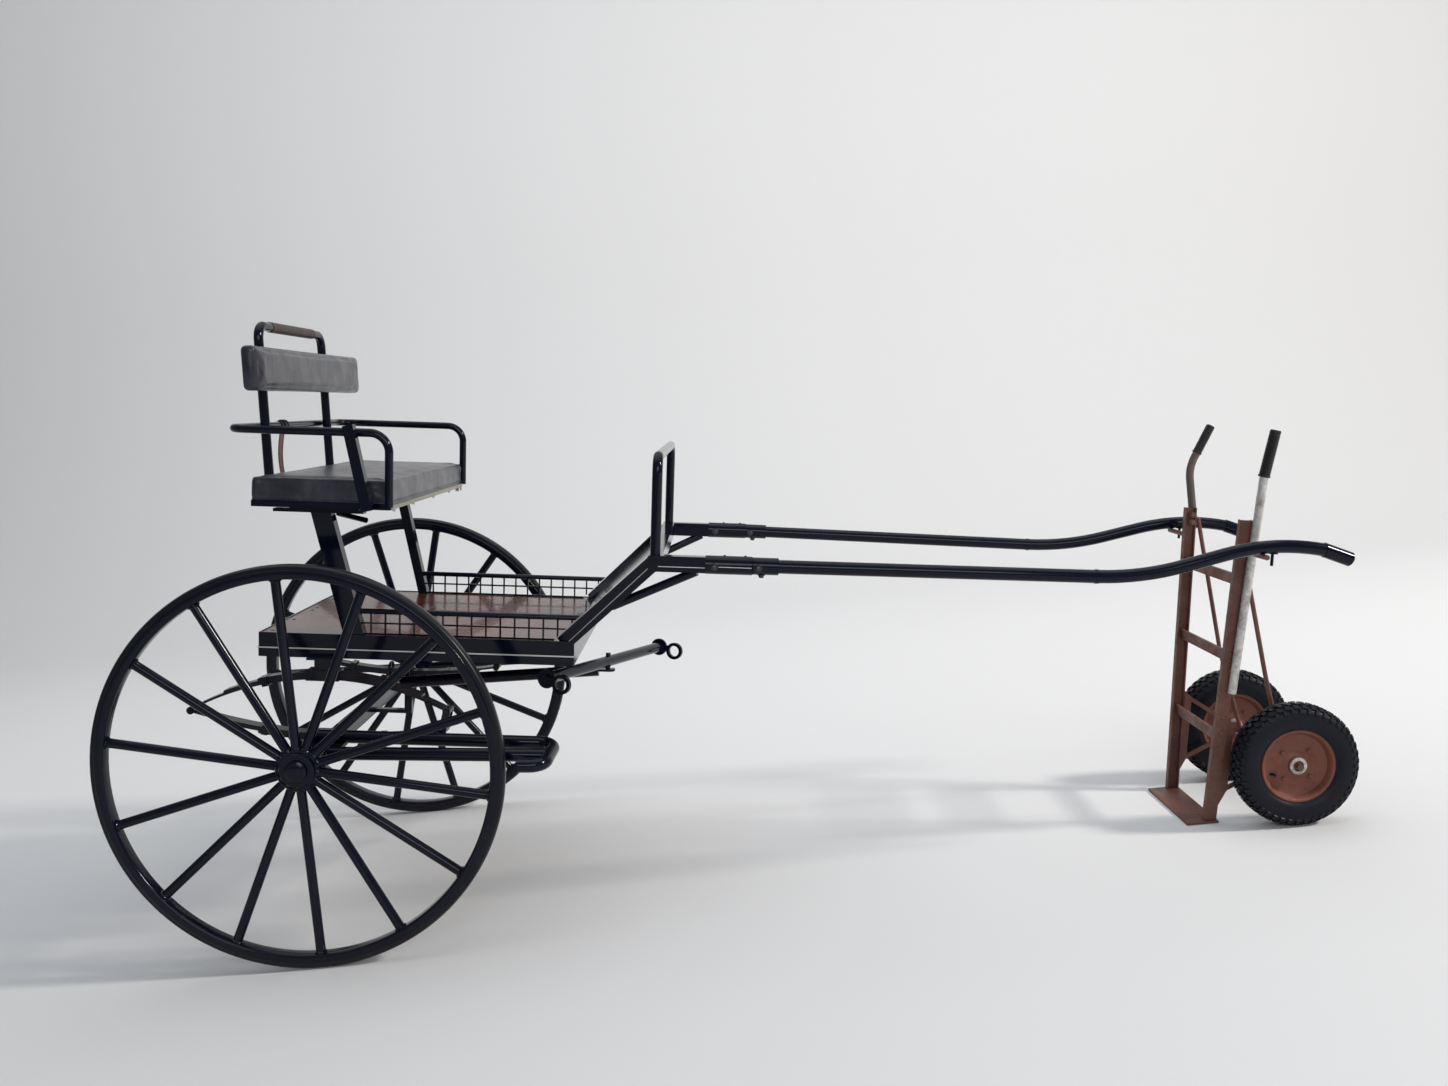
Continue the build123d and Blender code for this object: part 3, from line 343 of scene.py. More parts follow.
def rusty(name, tint, rusting):
    # Old paint of one tint, rusting by a share from 0 to 1
    made, tree, shader = new_material(name)
    rust = use(tree, RUSTY_PAINT)
    colour, _ = dusted(tree, blend(tree, rusting, (*tint, 1), rust["Colour"]), 0.1)
    wire(tree, shader, Base_Color=colour, Roughness=rust["Roughness"])
    bump(tree, shader, rust["Height"], 0.0007, 0.6)
    return made


ZINC_STEEL = zinc()
SEAT_VINYL = vinyl()
GRIP_LEATHER = leather()
STRAP_LEATHER = strap_leather()
VARNISHED_WOOD = boards()
PLY_EDGE = ply_edge()
STAND_PAINT = rusty("stand_paint", (0.15, 0.038, 0.026), 0.66)
STAND_RIM_PAINT = rusty("stand_rim_paint", (0.22, 0.043, 0.022), 0.5)
HANDLE_STEEL = rusty("handle_steel", (0.1, 0.085, 0.075), 0.35)

FINISHES = {"black_paint": BLACK_PAINT, "spring_steel": SPRING_STEEL, "wheel_rubber": WHEEL_RUBBER,
            "stand_rubber": STAND_RUBBER, "grip_plastic": GRIP_PLASTIC, "zinc_steel": ZINC_STEEL,
            "seat_vinyl": SEAT_VINYL, "grip_leather": GRIP_LEATHER, "varnished_wood": VARNISHED_WOOD,
            "stand_paint": STAND_PAINT}


def finish_nodes():
    slots = {row["node"]: row["material_slot"] for row in frame["record"]["subparts"]}
    for name, obj in frame["nodes"].items():
        finish = STAND_RIM_PAINT if name.startswith("stand_rim") else FINISHES[slots[name]]
        if name == "stand_handle_left":
            finish = HANDLE_STEEL
        for slot in obj.material_slots:
            slot.material = finish


# Shapes of the added pieces. Each piece gathers like shapes that ride on one body.
class Piece:
    def __init__(self):
        self.points = []
        self.faces = []

    def lathe(self, place, profile, turns=24, closed=False):
        # The profile of (radius, height) turned round the place's Z
        base, rows = len(self.points), len(profile)
        for a in ring_of(turns):
            for radius, height in profile:
                self.points.append(place @ Vector((radius * math.cos(a), radius * math.sin(a), height)))
        steps = rows if closed else rows - 1
        for k in range(turns):
            here, there = base + k * rows, base + (k + 1) % turns * rows
            for i in range(steps):
                j = (i + 1) % rows
                self.faces.append((here + i, there + i, there + j, here + j))

    def tube(self, path, radius, sides=10, flat=1.0, closed=False):
        # A round or flattened bar along the path
        base, count = len(self.points), len(path)
        path = [Vector(p) for p in path]
        across = None
        for i, p in enumerate(path):
            ahead = path[(i + 1) % count] if closed or i < count - 1 else p
            behind = path[i - 1] if closed or i > 0 else p
            along = (ahead - behind).normalized()
            if across is None:
                across = along.orthogonal().normalized()
            across = (across - along * across.dot(along)).normalized()
            other = along.cross(across)
            for a in ring_of(sides):
                self.points.append(p + across * radius * math.cos(a) + other * radius * flat * math.sin(a))
        for i in range(count if closed else count - 1):
            here, there = base + i * sides, base + (i + 1) % count * sides
            for k in range(sides):
                m = (k + 1) % sides
                self.faces.append((here + k, here + m, there + m, there + k))
        if not closed:
            self.faces.append(tuple(base + k for k in reversed(range(sides))))
            self.faces.append(tuple(base + (count - 1) * sides + k for k in range(sides)))

    def block(self, place, size, taper=1.0):
        base = len(self.points)
        for z in (-0.5, 0.5):
            shrink = 1.0 if z < 0 else taper
            for x, y in ((-0.5, -0.5), (0.5, -0.5), (0.5, 0.5), (-0.5, 0.5)):
                self.points.append(place @ Vector((x * size[0] * shrink, y * size[1] * shrink, z * size[2])))
        for face in ((3, 2, 1, 0), (4, 5, 6, 7), (0, 1, 5, 4), (1, 2, 6, 5), (2, 3, 7, 6), (3, 0, 4, 7)):
            self.faces.append(tuple(base + k for k in face))

    def bolt(self, place, radius, height):
        # A hexagon head on a washer, standing along the place's Z
        foot, wide = radius * 0.28, radius * 1.45
        self.lathe(place, [(0, 0), (wide, 0), (wide, foot), (0, foot)], 20)
        top = foot + height
        self.lathe(place, [(radius, foot), (radius, top - height * 0.18), (radius * 0.82, top), (0, top)], 6)

    def dome(self, place, radius, height):
        # A round headed rivet or screw
        profile = [(radius, 0), (radius * 0.9, height * 0.55), (radius * 0.55, height * 0.92), (0, height)]
        self.lathe(place, profile, 14)

    def make(self, name, material, body, slot, sharp=32, bevel=0.0):
        mesh = bpy.data.meshes.new(name)
        mesh.from_pydata([tuple(p) for p in self.points], [], self.faces)
        work = bmesh.new()
        work.from_mesh(mesh)
        bmesh.ops.remove_doubles(work, verts=work.verts, dist=0.00002)
        bmesh.ops.recalc_face_normals(work, faces=work.faces)
        work.to_mesh(mesh)
        work.free()
        mesh.shade_smooth()
        mesh.set_sharp_from_angle(angle=math.radians(sharp))
        obj = bpy.data.objects.new(name, mesh)
        bpy.context.scene.collection.objects.link(obj)
        mesh.materials.append(material)
        if bevel:
            soft = obj.modifiers.new("edges", "BEVEL")
            soft.width = bevel
            soft.segments = 2
            soft.limit_method = "ANGLE"
        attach(obj, body)
        return obj


def mirrored(half):
    # A closed profile from its upper half
    return half + [(r, -h) for r, h in reversed(half)]


# Cart wheels
SPOKES = 14
SPOKE_PHASE = {-1: 96.6, 1: 107.8}
RIM_MID = 0.678
RIM_INSIDE = 0.5325
DISC_R = 0.0585
DISC_HALF = 0.0135


def wheel_trim():
    collar = [(0.0132, 0), (0.0175, 0), (0.0178, 0.002), (0.0155, 0.0042), (0.0134, 0.0052)]
    bead = [(0.0172, -0.004), (0.0168, 0.001), (0.0148, 0.0036), (0.0133, 0.0045)]
    for name, side in SIDES:
        collars, beads = Piece(), Piece()
        middle = Vector((0, side * RIM_MID, 0))
        for k in range(SPOKES):
            a = math.radians(SPOKE_PHASE[side] + 360 * k / SPOKES)
            ray = Vector((math.cos(a), 0, math.sin(a)))
            collars.lathe(cart_aim(middle + ray * RIM_INSIDE, -ray), collar, 20)
            beads.lathe(cart_aim(middle + ray * DISC_R, ray), bead, 18)
        collars.make("spoke_collars_" + name, BLACK_PAINT, "wheel_" + name, "black_paint")
        beads.make("spoke_welds_" + name, BLACK_PAINT, "wheel_" + name, "black_paint")


def wheel_rings():
    # The rounded rubber and the rolled rim that show in place of the plain sections
    half_tyre = [(0.5398, 0.0165), (0.556, 0.0176), (0.564, 0.0179), (0.5695, 0.0166), (0.5728, 0.0128),
                 (0.5746, 0.0066)]
    half_rim = [(0.5332, 0.0), (0.5332, 0.0135), (0.534, 0.0178), (0.5364, 0.0206), (0.5405, 0.0219), (0.5552, 0.0219),
                (0.5582, 0.0211), (0.559, 0.0197), (0.5584, 0.0186), (0.5405, 0.0184), (0.539, 0.0)]
    tyre_profile = half_tyre + [(WHEEL_R, 0)] + [(r, -h) for r, h in reversed(half_tyre)]
    rim_profile = half_rim + [(r, -h) for r, h in reversed(half_rim[1:-1])]
    for name, side in SIDES:
        place = cart_aim((0, side * RIM_MID, 0), (0, 1, 0))
        tyre, rim = Piece(), Piece()
        tyre.lathe(place, tyre_profile, 144, closed=True)
        rim.lathe(place, rim_profile, 144, closed=True)
        made = tyre.make("wheel_rubber_" + name, WHEEL_RUBBER, "wheel_" + name, "wheel_rubber")
        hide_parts("tyre_" + name)
        made = rim.make("wheel_rim_" + name, BLACK_PAINT, "wheel_" + name, "black_paint", sharp=50)
        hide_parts("rim_" + name)


def hub_trim():
    flange_ring = [(0.0335, -0.0005), (0.0335, 0.0018), (0.0375, 0.0018), (0.0385, -0.0005)]
    cap = [(0.0205, -0.0012), (0.0195, 0.0016), (0.012, 0.003), (0, 0.0034)]
    inner_ring = [(0.0362, 0.004), (0.0392, 0.006), (0.0392, 0.012), (0.0362, 0.014)]
    flange_t, cap_t, hub_inward = 0.009, 0.012, 0.064
    for name, side in SIDES:
        trim = Piece()
        out = (0, side, 0)
        face = RIM_MID + DISC_HALF + flange_t
        inner = RIM_MID - DISC_HALF - hub_inward
        trim.lathe(cart_aim((0, side * face, 0), out), flange_ring, 40)
        trim.lathe(cart_aim((0, side * (face + cap_t), 0), out), cap, 36)
        trim.lathe(cart_aim((0, side * inner, 0), out), inner_ring, 36)
        trim.make("hub_trim_" + name, BLACK_PAINT, "wheel_" + name, "black_paint")


# Springs: bolts, clips and eye pins
LEAF_T = 0.007
SPRING_Y = 0.445


def arc_z(ends, mid, x):
    # Height of the arc through both ends and (0, mid)
    (x0, z0), (x1, z1) = ends
    lift = mid - (z0 + (z1 - z0) * (0 - x0) / (x1 - x0))
    line = z0 + (z1 - z0) * (x - x0) / (x1 - x0)
    reach = max(abs(x0), abs(x1))
    return line + lift * (1 - (x / reach) ** 2)


UPPER_ENDS = ((-0.385, 0.1055), (0.364, 0.122))
UPPER_MID = 0.209
LOWER_ENDS = ((-0.385, 0.0985), (0.352, 0.062))
LOWER_MID = 0.0395
EYE_PINS = ((-0.385, 0.102), (0.364, 0.122), (0.352, 0.062))
PIN_REACH = 0.0265
CLIP_X = 0.17
CLIP_HALF_W = 0.0235
CLIP_HALF_H = 0.0125
STRAP_X = 0.036
STRAP_LOW = -0.034
STRAP_HIGH = 0.052


def leaf_clip(clips, place):
    # Four flat bars round the leaves
    w, h, bar, long = CLIP_HALF_W, CLIP_HALF_H, 0.003, 0.018
    corners = [(-w, -h), (w, -h), (w, h), (-w, h)]
    for (ay, az), (by, bz) in zip(corners, corners[1:] + corners[:1]):
        middle = Matrix.Translation((0, (ay + by) / 2, (az + bz) / 2))
        clips.block(place @ middle, (long, abs(by - ay) + bar, bar) if az == bz else (long, bar, abs(bz - az) + bar))


def spring_trim():
    for name, side in SIDES:
        clips, bolts = Piece(), Piece()
        y = side * SPRING_Y
        for ends, mid, sign in ((UPPER_ENDS, UPPER_MID, 1), (LOWER_ENDS, LOWER_MID, -1)):
            for x in (-CLIP_X, CLIP_X):
                z = arc_z(ends, mid, x)
                slope = math.atan2(arc_z(ends, mid, x + 0.01) - z, 0.01)
                spot = Matrix.Translation((x, y, z + sign * LEAF_T)) @ Matrix.Rotation(-slope, 4, "Y")
                leaf_clip(clips, CART @ spot)
        for x in (-STRAP_X, STRAP_X):
            for dy in (-PIN_REACH, PIN_REACH):
                bolts.tube([cart(x, y + dy, STRAP_LOW), cart(x, y + dy, STRAP_HIGH)], 0.005, 12)
                bolts.bolt(cart_aim((x, y + dy, STRAP_LOW + 0.006), (0, 0, -1)), 0.0085, 0.008)
            turns = [math.pi * k / 8 for k in range(9)]
            arch = [cart(x, y + PIN_REACH * math.cos(t), STRAP_HIGH + 0.012 * math.sin(t)) for t in turns]
            bolts.tube(arch, 0.005, 12)
        for x, z in EYE_PINS:
            for end in (-1, 1):
                bolts.bolt(cart_aim((x, y + end * PIN_REACH, z), (0, end, 0)), 0.008, 0.006)
        clips.make("spring_clips_" + name, SPRING_STEEL, "cart", "spring_steel", bevel=0.0006)
        bolts.make("spring_bolts_" + name, SPRING_STEEL, "cart", "spring_steel")


# Platform: a painted highlight between its two tiers, a bright steel line that stands in for the edge glint, and board
# screws
PLAT = {"rear": -0.2, "front": 0.73, "half": 0.43, "tier": 0.2895, "top": 0.332}
SCREW_ROWS = (-0.172, 0.09, 0.36, 0.62)
SCREW_LINES = (-0.385, -0.2, -0.025, 0.025, 0.2, 0.385)


def platform_trim():
    # The bright line is a painted highlight that stands in for the glint on the lower tier's edge
    line = Piece()
    t, h = 0.0022, 0.0042
    rear, half, z = PLAT["rear"], PLAT["half"], PLAT["tier"]
    length = PLAT["front"] - rear
    centre = (PLAT["front"] + rear) / 2
    for side in (-1, 1):
        line.block(CART @ Matrix.Translation((centre, side * (half + t / 2), z)), (length, t, h))
    line.block(CART @ Matrix.Translation((rear - t / 2, 0, z)), (t, half * 2 + 2 * t, h))
    line.make("painted_platform_glint", TRIM_STEEL_AND_PAINTED_GLINT, "cart", "black_paint", bevel=0.0004)
    screws = Piece()
    for x in SCREW_ROWS:
        for y in SCREW_LINES:
            screws.dome(cart_aim((x, y, PLAT["top"]), (0, 0, 1)), 0.0052, 0.0016)
    screws.make("board_screws", BLACK_PAINT, "cart", "black_paint")


# Shaft sleeves: cross bolts, a nut under each collar
SHAFT_Y = 0.492
SHAFT_Z = 0.585
BOLT_Z = SHAFT_Z - 0.003
CROSS_BOLTS = ((1.135, 0.0268), (1.262, 0.0248))
COLLAR_NUT = (1.272, SHAFT_Z - 0.0245)
SLEEVE_SCREWS = (1.165, 1.225)
SLEEVE_HALF = 0.0266
STUB_HALF = 0.02
DASH_FOOT = (0.698, 0.4, 0.328)
DASH_TOP = (0.962, SHAFT_Y, 0.588)


def sleeve_trim():
    round_washer = [(0.0115, -0.002), (0.0115, 0.001), (0.0095, 0.002)]
    for name, side in SIDES:
        bolts, screws = Piece(), Piece()
        y = side * SHAFT_Y
        for x, reach in CROSS_BOLTS:
            bolts.bolt(cart_aim((x, y - side * reach, BOLT_Z), (0, -side, 0)), 0.0075, 0.006)
            bolts.lathe(cart_aim((x, y + side * reach, BOLT_Z), (0, side, 0)), round_washer, 20)
            bolts.dome(cart_aim((x, y + side * (reach + 0.001), BOLT_Z), (0, side, 0)), 0.0085, 0.0055)
        nut_x, nut_z = COLLAR_NUT
        bolts.bolt(cart_aim((nut_x, y, nut_z), (0, 0, -1)), 0.0075, 0.007)
        bolts.make("sleeve_bolts_" + name, BOLT_STEEL, "cart", "zinc_steel")
        for x in SLEEVE_SCREWS:
            screws.dome(cart_aim((x, y, SHAFT_Z + SLEEVE_HALF), (0, 0, 1)), 0.0042, 0.003)
        screws.make("sleeve_screws_" + name, BLACK_PAINT, "cart", "black_paint")


# A painted highlight: thin bright steel lines that stand in for the glint along the dash tubes, the box stubs and the
# sleeves
def painted_glint_lines():
    for name, side in SIDES:
        glint_line = Piece()
        low, high = [Vector((x, side * y, z)) for x, y, z in (DASH_FOOT, DASH_TOP)]
        along = (high - low).normalized()
        out = (Vector((0, side, 0)) - along * side * along.y).normalized()
        down = along.cross(out)
        if down.z > 0:
            down = -down
        lift = out * STUB_HALF
        start = low + along * 0.02 + lift + down * 0.0065
        end = high - along * 0.016 + lift + down * 0.001
        glint_line.tube([cart(*start), cart(*end)], 0.0013, 8)
        z, face = SHAFT_Z - 0.0075, side * (SHAFT_Y + STUB_HALF)
        glint_line.tube([cart(0.975, face, z), cart(1.108, face, z)], 0.0013, 8)
        face = side * (SHAFT_Y + SLEEVE_HALF)
        glint_line.tube([cart(1.148, face, BOLT_Z), cart(1.243, face, BOLT_Z)], 0.0012, 8)
        # These lines are painted highlights in bright steel, not real seams
        glint_line.make("painted_tube_glints_" + name, TRIM_STEEL_AND_PAINTED_GLINT, "cart", "black_paint")


# Seat: base strip, clips, welts, strap
SEAT = {"rear": -0.192, "front": 0.205, "base": 0.712, "foam": 0.73}
SEAT_CLIPS = ((-0.45, 0.6), (-0.22, 0.5), (0.05, 0.5), (0.29, 0.5), (0.435, 1.0), (0.478, 1.0))
WELT_HALF = 0.497
STRAP_TOP = Vector((-0.246, -0.08, 0.918))
STRAP_FOOT = Vector((-0.196, -0.19, 0.738))
ARMREST_Z = 0.932


def seat_edges():
    strip = Piece()
    x = SEAT["front"] + 0.0018
    strip.block(CART @ Matrix.Translation((x, 0, SEAT["base"] + 0.007)), (0.003, 0.992, 0.012))
    strip.make("seat_front_strip", PLY_EDGE, "seat", "varnished_wood", bevel=0.0006)
    clips = Piece()
    x -= 0.004
    for y, scale in SEAT_CLIPS:
        z = SEAT["base"] - 0.004 * scale
        clips.block(CART @ Matrix.Translation((x, y, z)), (0.012 * scale, 0.013 * scale, 0.013 * scale))
        clips.dome(cart_aim((x + 0.006 * scale, y, z), (1, 0, 0)), 0.004 * scale, 0.0025)
    clips.make("seat_clips", TRIM_STEEL_AND_PAINTED_GLINT, "seat", "zinc_steel", bevel=0.0012)
    welt = Piece()
    rear, front, z = SEAT["rear"] + 0.004, SEAT["front"] - 0.002, SEAT["foam"] + 0.0025
    corners = ((rear, -WELT_HALF), (front, -WELT_HALF), (front, WELT_HALF), (rear, WELT_HALF))
    welt.tube([cart(a, b, z) for a, b in corners], 0.0028, 8, closed=True)
    welt.make("seat_welt", SEAT_VINYL, "seat", "seat_vinyl")


def back_strap():
    # The brown strap that hangs from the armrest's rear bar to the seat
    strap, loop = Piece(), Piece()
    path = []
    for k in range(13):
        t = k / 12
        sag = Vector((-math.sin(math.pi * t) * 0.012, 0, 0))
        path.append(cart(*(STRAP_TOP.lerp(STRAP_FOOT, t) + sag)))
    strap.tube(path, 0.0085, 10, flat=0.24)
    strap.make("back_strap", STRAP_LEATHER, "seat", "grip_leather")
    bar_x, bar_y, _ = STRAP_TOP
    for dy in (-0.012, 0.012):
        turn = [cart(bar_x + 0.0155 * math.cos(t), bar_y + dy, ARMREST_Z + 0.0155 * math.sin(t)) for t in ring_of(20)]
        loop.tube(turn, 0.0032, 8, closed=True)
    loop.make("strap_loop", GRIP_PLASTIC, "seat", "grip_plastic")


# Cushions: a closed box with rounded corners, puffed by a short cloth simulation
def cushion_start(name, size, corner):
    work = bmesh.new()
    bmesh.ops.create_cube(work, size=1.0, matrix=Matrix.Diagonal((*size, 1)))
    bmesh.ops.bevel(work, geom=work.edges[:], offset=corner, segments=4, affect="EDGES", profile=0.6)
    mesh = bpy.data.meshes.new(name)
    work.to_mesh(mesh)
    work.free()
    return mesh


def shape_of(obj):
    seen = obj.evaluated_get(bpy.context.evaluated_depsgraph_get())
    return bpy.data.meshes.new_from_object(seen)


PUFF_FRAMES = 20
SPRING_BACK = 0.85


def simulate(obj, hold):
    # A short cloth simulation under air pressure. hold(point) says which points stay.
    held = obj.vertex_groups.new(name="held")
    held.add([v.index for v in obj.data.vertices if hold(v.co)], 1.0, "REPLACE")
    cloth = obj.modifiers.new("puff", "CLOTH")
    cloth.settings.quality = 5
    cloth.settings.mass = 0.3
    cloth.settings.tension_stiffness = 40
    cloth.settings.compression_stiffness = 40
    cloth.settings.bending_stiffness = 2.0
    cloth.settings.use_pressure = True
    cloth.settings.uniform_pressure_force = 4.0
    cloth.settings.vertex_group_mass = "held"
    cloth.settings.effector_weights.gravity = 0.0
    cloth.collision_settings.use_collision = False
    cloth.point_cache.frame_start = 1
    cloth.point_cache.frame_end = PUFF_FRAMES
    for step in range(1, PUFF_FRAMES + 1):
        bpy.context.scene.frame_set(step)
    obj.data = shape_of(obj)
    obj.modifiers.clear()
    bpy.context.scene.frame_set(1)


def puff(name, size, place, corner, voxel, hold, cap, seams, node):
    # cap is the farthest that a point may move. seams(vertex) adds the sewn lines and hollows.
    obj = bpy.data.objects.new(name, cushion_start(name, size, corner))
    bpy.context.scene.collection.objects.link(obj)
    grid = obj.modifiers.new("grid", "REMESH")
    grid.mode = "VOXEL"
    grid.voxel_size = voxel
    obj.data = shape_of(obj)
    obj.modifiers.clear()
    rest = [(v.co.copy(), v.normal.copy()) for v in obj.data.vertices]
    simulate(obj, hold)
    for v, (start, outward) in zip(obj.data.vertices, rest):
        move = v.co - start
        sunk = move.dot(outward)
        if sunk < 0:
            move -= outward * sunk * SPRING_BACK
            v.co = start + move
        if move.length > cap:
            v.co = start + move.normalized() * cap
        seams(v)
    obj.data.transform(place)
    obj.data.shade_smooth()
    obj.data.materials.clear()
    obj.data.materials.append(SEAT_VINYL)
    smooth = obj.modifiers.new("smooth", "SUBSURF")
    smooth.levels = 1
    smooth.render_levels = 1
    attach(obj, "seat")
    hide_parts(node)


def hollow(distance, width, depth=1.0):
    return depth * math.exp(-(distance / width) ** 2)


def clamp(value, low, high):
    return max(low, min(high, value))


def seat_cushion():
    size = (0.4, 0.998, 0.065)
    half_x, half_y, half_z = 0.2, 0.499, 0.0325
    sitter_y, side_seam_x, box_edge = 0.24, 0.135, 0.4997

    def hold(p):
        return p.z < 0.012 - half_z

    def seams(v):
        # Broad hollows where people sit, a ripple on top, the side seam and a crinkled front
        p = v.co
        if p.z > 0.015:
            dents = hollow(p.y - sitter_y, 0.17) + hollow(p.y + sitter_y, 0.17)
            p.z -= 0.0035 * dents * hollow(p.x + 0.02, 0.13)
            p.z += 0.0012 * noise.noise(Vector((p.x * 9, p.y * 5, 1.7)))
        if p.y < 0.006 - half_y:
            p.y += hollow(p.x - side_seam_x, 0.0035, 0.0022)
        if p.x > half_x - 0.012:
            p.x += 0.0009 * noise.noise(Vector((p.y * 22, p.z * 30, 4.1)))
        p.z = min(p.z, half_z + 0.006)
        p.y = clamp(p.y, -box_edge, box_edge)
        p.x = clamp(p.x, -half_x - 0.002, half_x + 0.001)

    middle = (SEAT["rear"] + SEAT["front"]) / 2 - 0.001
    place = CART @ Matrix.Translation((middle, 0, SEAT["foam"] + half_z + 0.0005))
    puff("seat_cushion_padded", size, place, 0.011, 0.0075, hold, 0.007, seams, "seat_cushion")


BACK_LEAN = math.radians(4.03)


def backrest_pad():
    middle, half = box_of("backrest_pad")
    size = (0.043, 2 * half[1] + 0.002, 0.129)
    place = Matrix.Translation((middle.x + 0.001, 0.007, middle.z + 0.003))
    place = place @ Matrix.Rotation(PITCH - BACK_LEAN, 4, "Y")

    def hold(p):
        return p.x < 0.006 - size[0] / 2

    def seams(v):
        # A sewn line round the front
        p = v.co
        edge = min(size[1] / 2 - abs(p.y), size[2] / 2 - abs(p.z))
        if p.x > 0:
            p.x += 0.0012 * noise.noise(Vector((p.y * 12, p.z * 16, 2.2)))
            p.x -= hollow(edge - 0.006, 0.004, 0.0012)

    puff("backrest_padded", size, place, 0.017, 0.006, hold, 0.009, seams, "backrest_pad")


# The grab handle's wrapped leather
def handle_wrap():
    # One strip wound round the bar, each turn lapping the last
    middle, half = box_of("handle_grip")
    middle.y = 0
    reach = half[1] - 0.022
    rows, sides, lay = 190, 28, 0.021
    bare, lapped, end_r = 0.0149, 0.0016, 0.0141
    wrap = Piece()
    for i in range(rows + 1):
        y = -reach + 2 * reach * i / rows
        for k, a in enumerate(ring_of(sides)):
            step = (y / lay + k / sides) % 1.0
            edge = min(1.0, (1 - step) / 0.14)
            radius = end_r if i in (0, rows) else bare + lapped * (0.35 + 0.65 * step) * edge
            wrap.points.append(middle + Vector((radius * math.cos(a), y, radius * math.sin(a))))
    for i in range(rows):
        here, there = i * sides, (i + 1) * sides
        for k in range(sides):
            m = (k + 1) % sides
            wrap.faces.append((here + k, there + k, there + m, here + m))
    wrap.faces.append(tuple(range(sides)))
    wrap.faces.append(tuple(rows * sides + k for k in reversed(range(sides))))
    made = wrap.make("handle_wrap", GRIP_LEATHER, "seat", "grip_leather", sharp=60)
    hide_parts("handle_grip")


# Sack truck wheels: lugged tyre, pressed rim, hub
LUGS = 44
# Each row's place across (share of the half width), drop (metres), twist (radians) and length (share)
LUG_ROWS = ((0.2, 0.0, 0.32, 0.36), (0.62, 0.003, -0.25, 0.38))
UPRIGHT = Matrix.Rotation(math.radians(90), 4, "Y")


def round_axle(place, angle, spot):
    return place @ Matrix.Rotation(angle, 4, "Z") @ Matrix.Translation(spot)


def stand_tyre(name, middle, half, radius):
    tyre = Piece()
    place = aim(middle, (0, -1, 0))
    under = radius - 0.0075
    side_wall = [(0.1035, 0.6), (0.109, 0.74), (0.1155, 0.74), (0.119, 0.78), (0.1225, 0.86), (0.134, 0.97),
                 (0.15, 1.0), (0.164, 0.97), (0.1755, 0.89), (0.1835, 0.74), (under, 0.5), (under + 0.0005, 0.2)]
    tyre.lathe(place, mirrored([(r, half * share) for r, share in side_wall]), 96, closed=True)
    for k in range(LUGS):
        for end in (-1, 1):
            start = k + 0.5 * (end > 0)
            # Two blocks of the tread, the outer one lying over the shoulder, then one on the side wall
            for part, (at, drop, turn, long) in enumerate(LUG_ROWS):
                a = 2 * math.pi * (start + 0.5 * part) / LUGS
                spot = round_axle(place, a, (radius - 0.0055 - drop, 0, end * half * at))
                tilt = Matrix.Rotation(-0.5 * end * part, 4, "Y") @ Matrix.Rotation(turn * end, 4, "X")
                tyre.block(spot @ tilt @ UPRIGHT, (half * long, 0.0158, 0.0105 - 0.002 * part), 0.9)
            spot = round_axle(place, 2 * math.pi * start / LUGS, (0.1768, 0, end * half * 0.87))
            tilt = Matrix.Rotation(-end * math.radians(62), 4, "Y")
            tyre.block(spot @ tilt @ UPRIGHT, (0.0195, 0.0135, 0.0065), 0.8)
    made = tyre.make("lugged_tyre_" + name, STAND_RUBBER, "stand_wheel_" + name, "stand_rubber", sharp=38)
    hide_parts("stand_tyre_" + name)


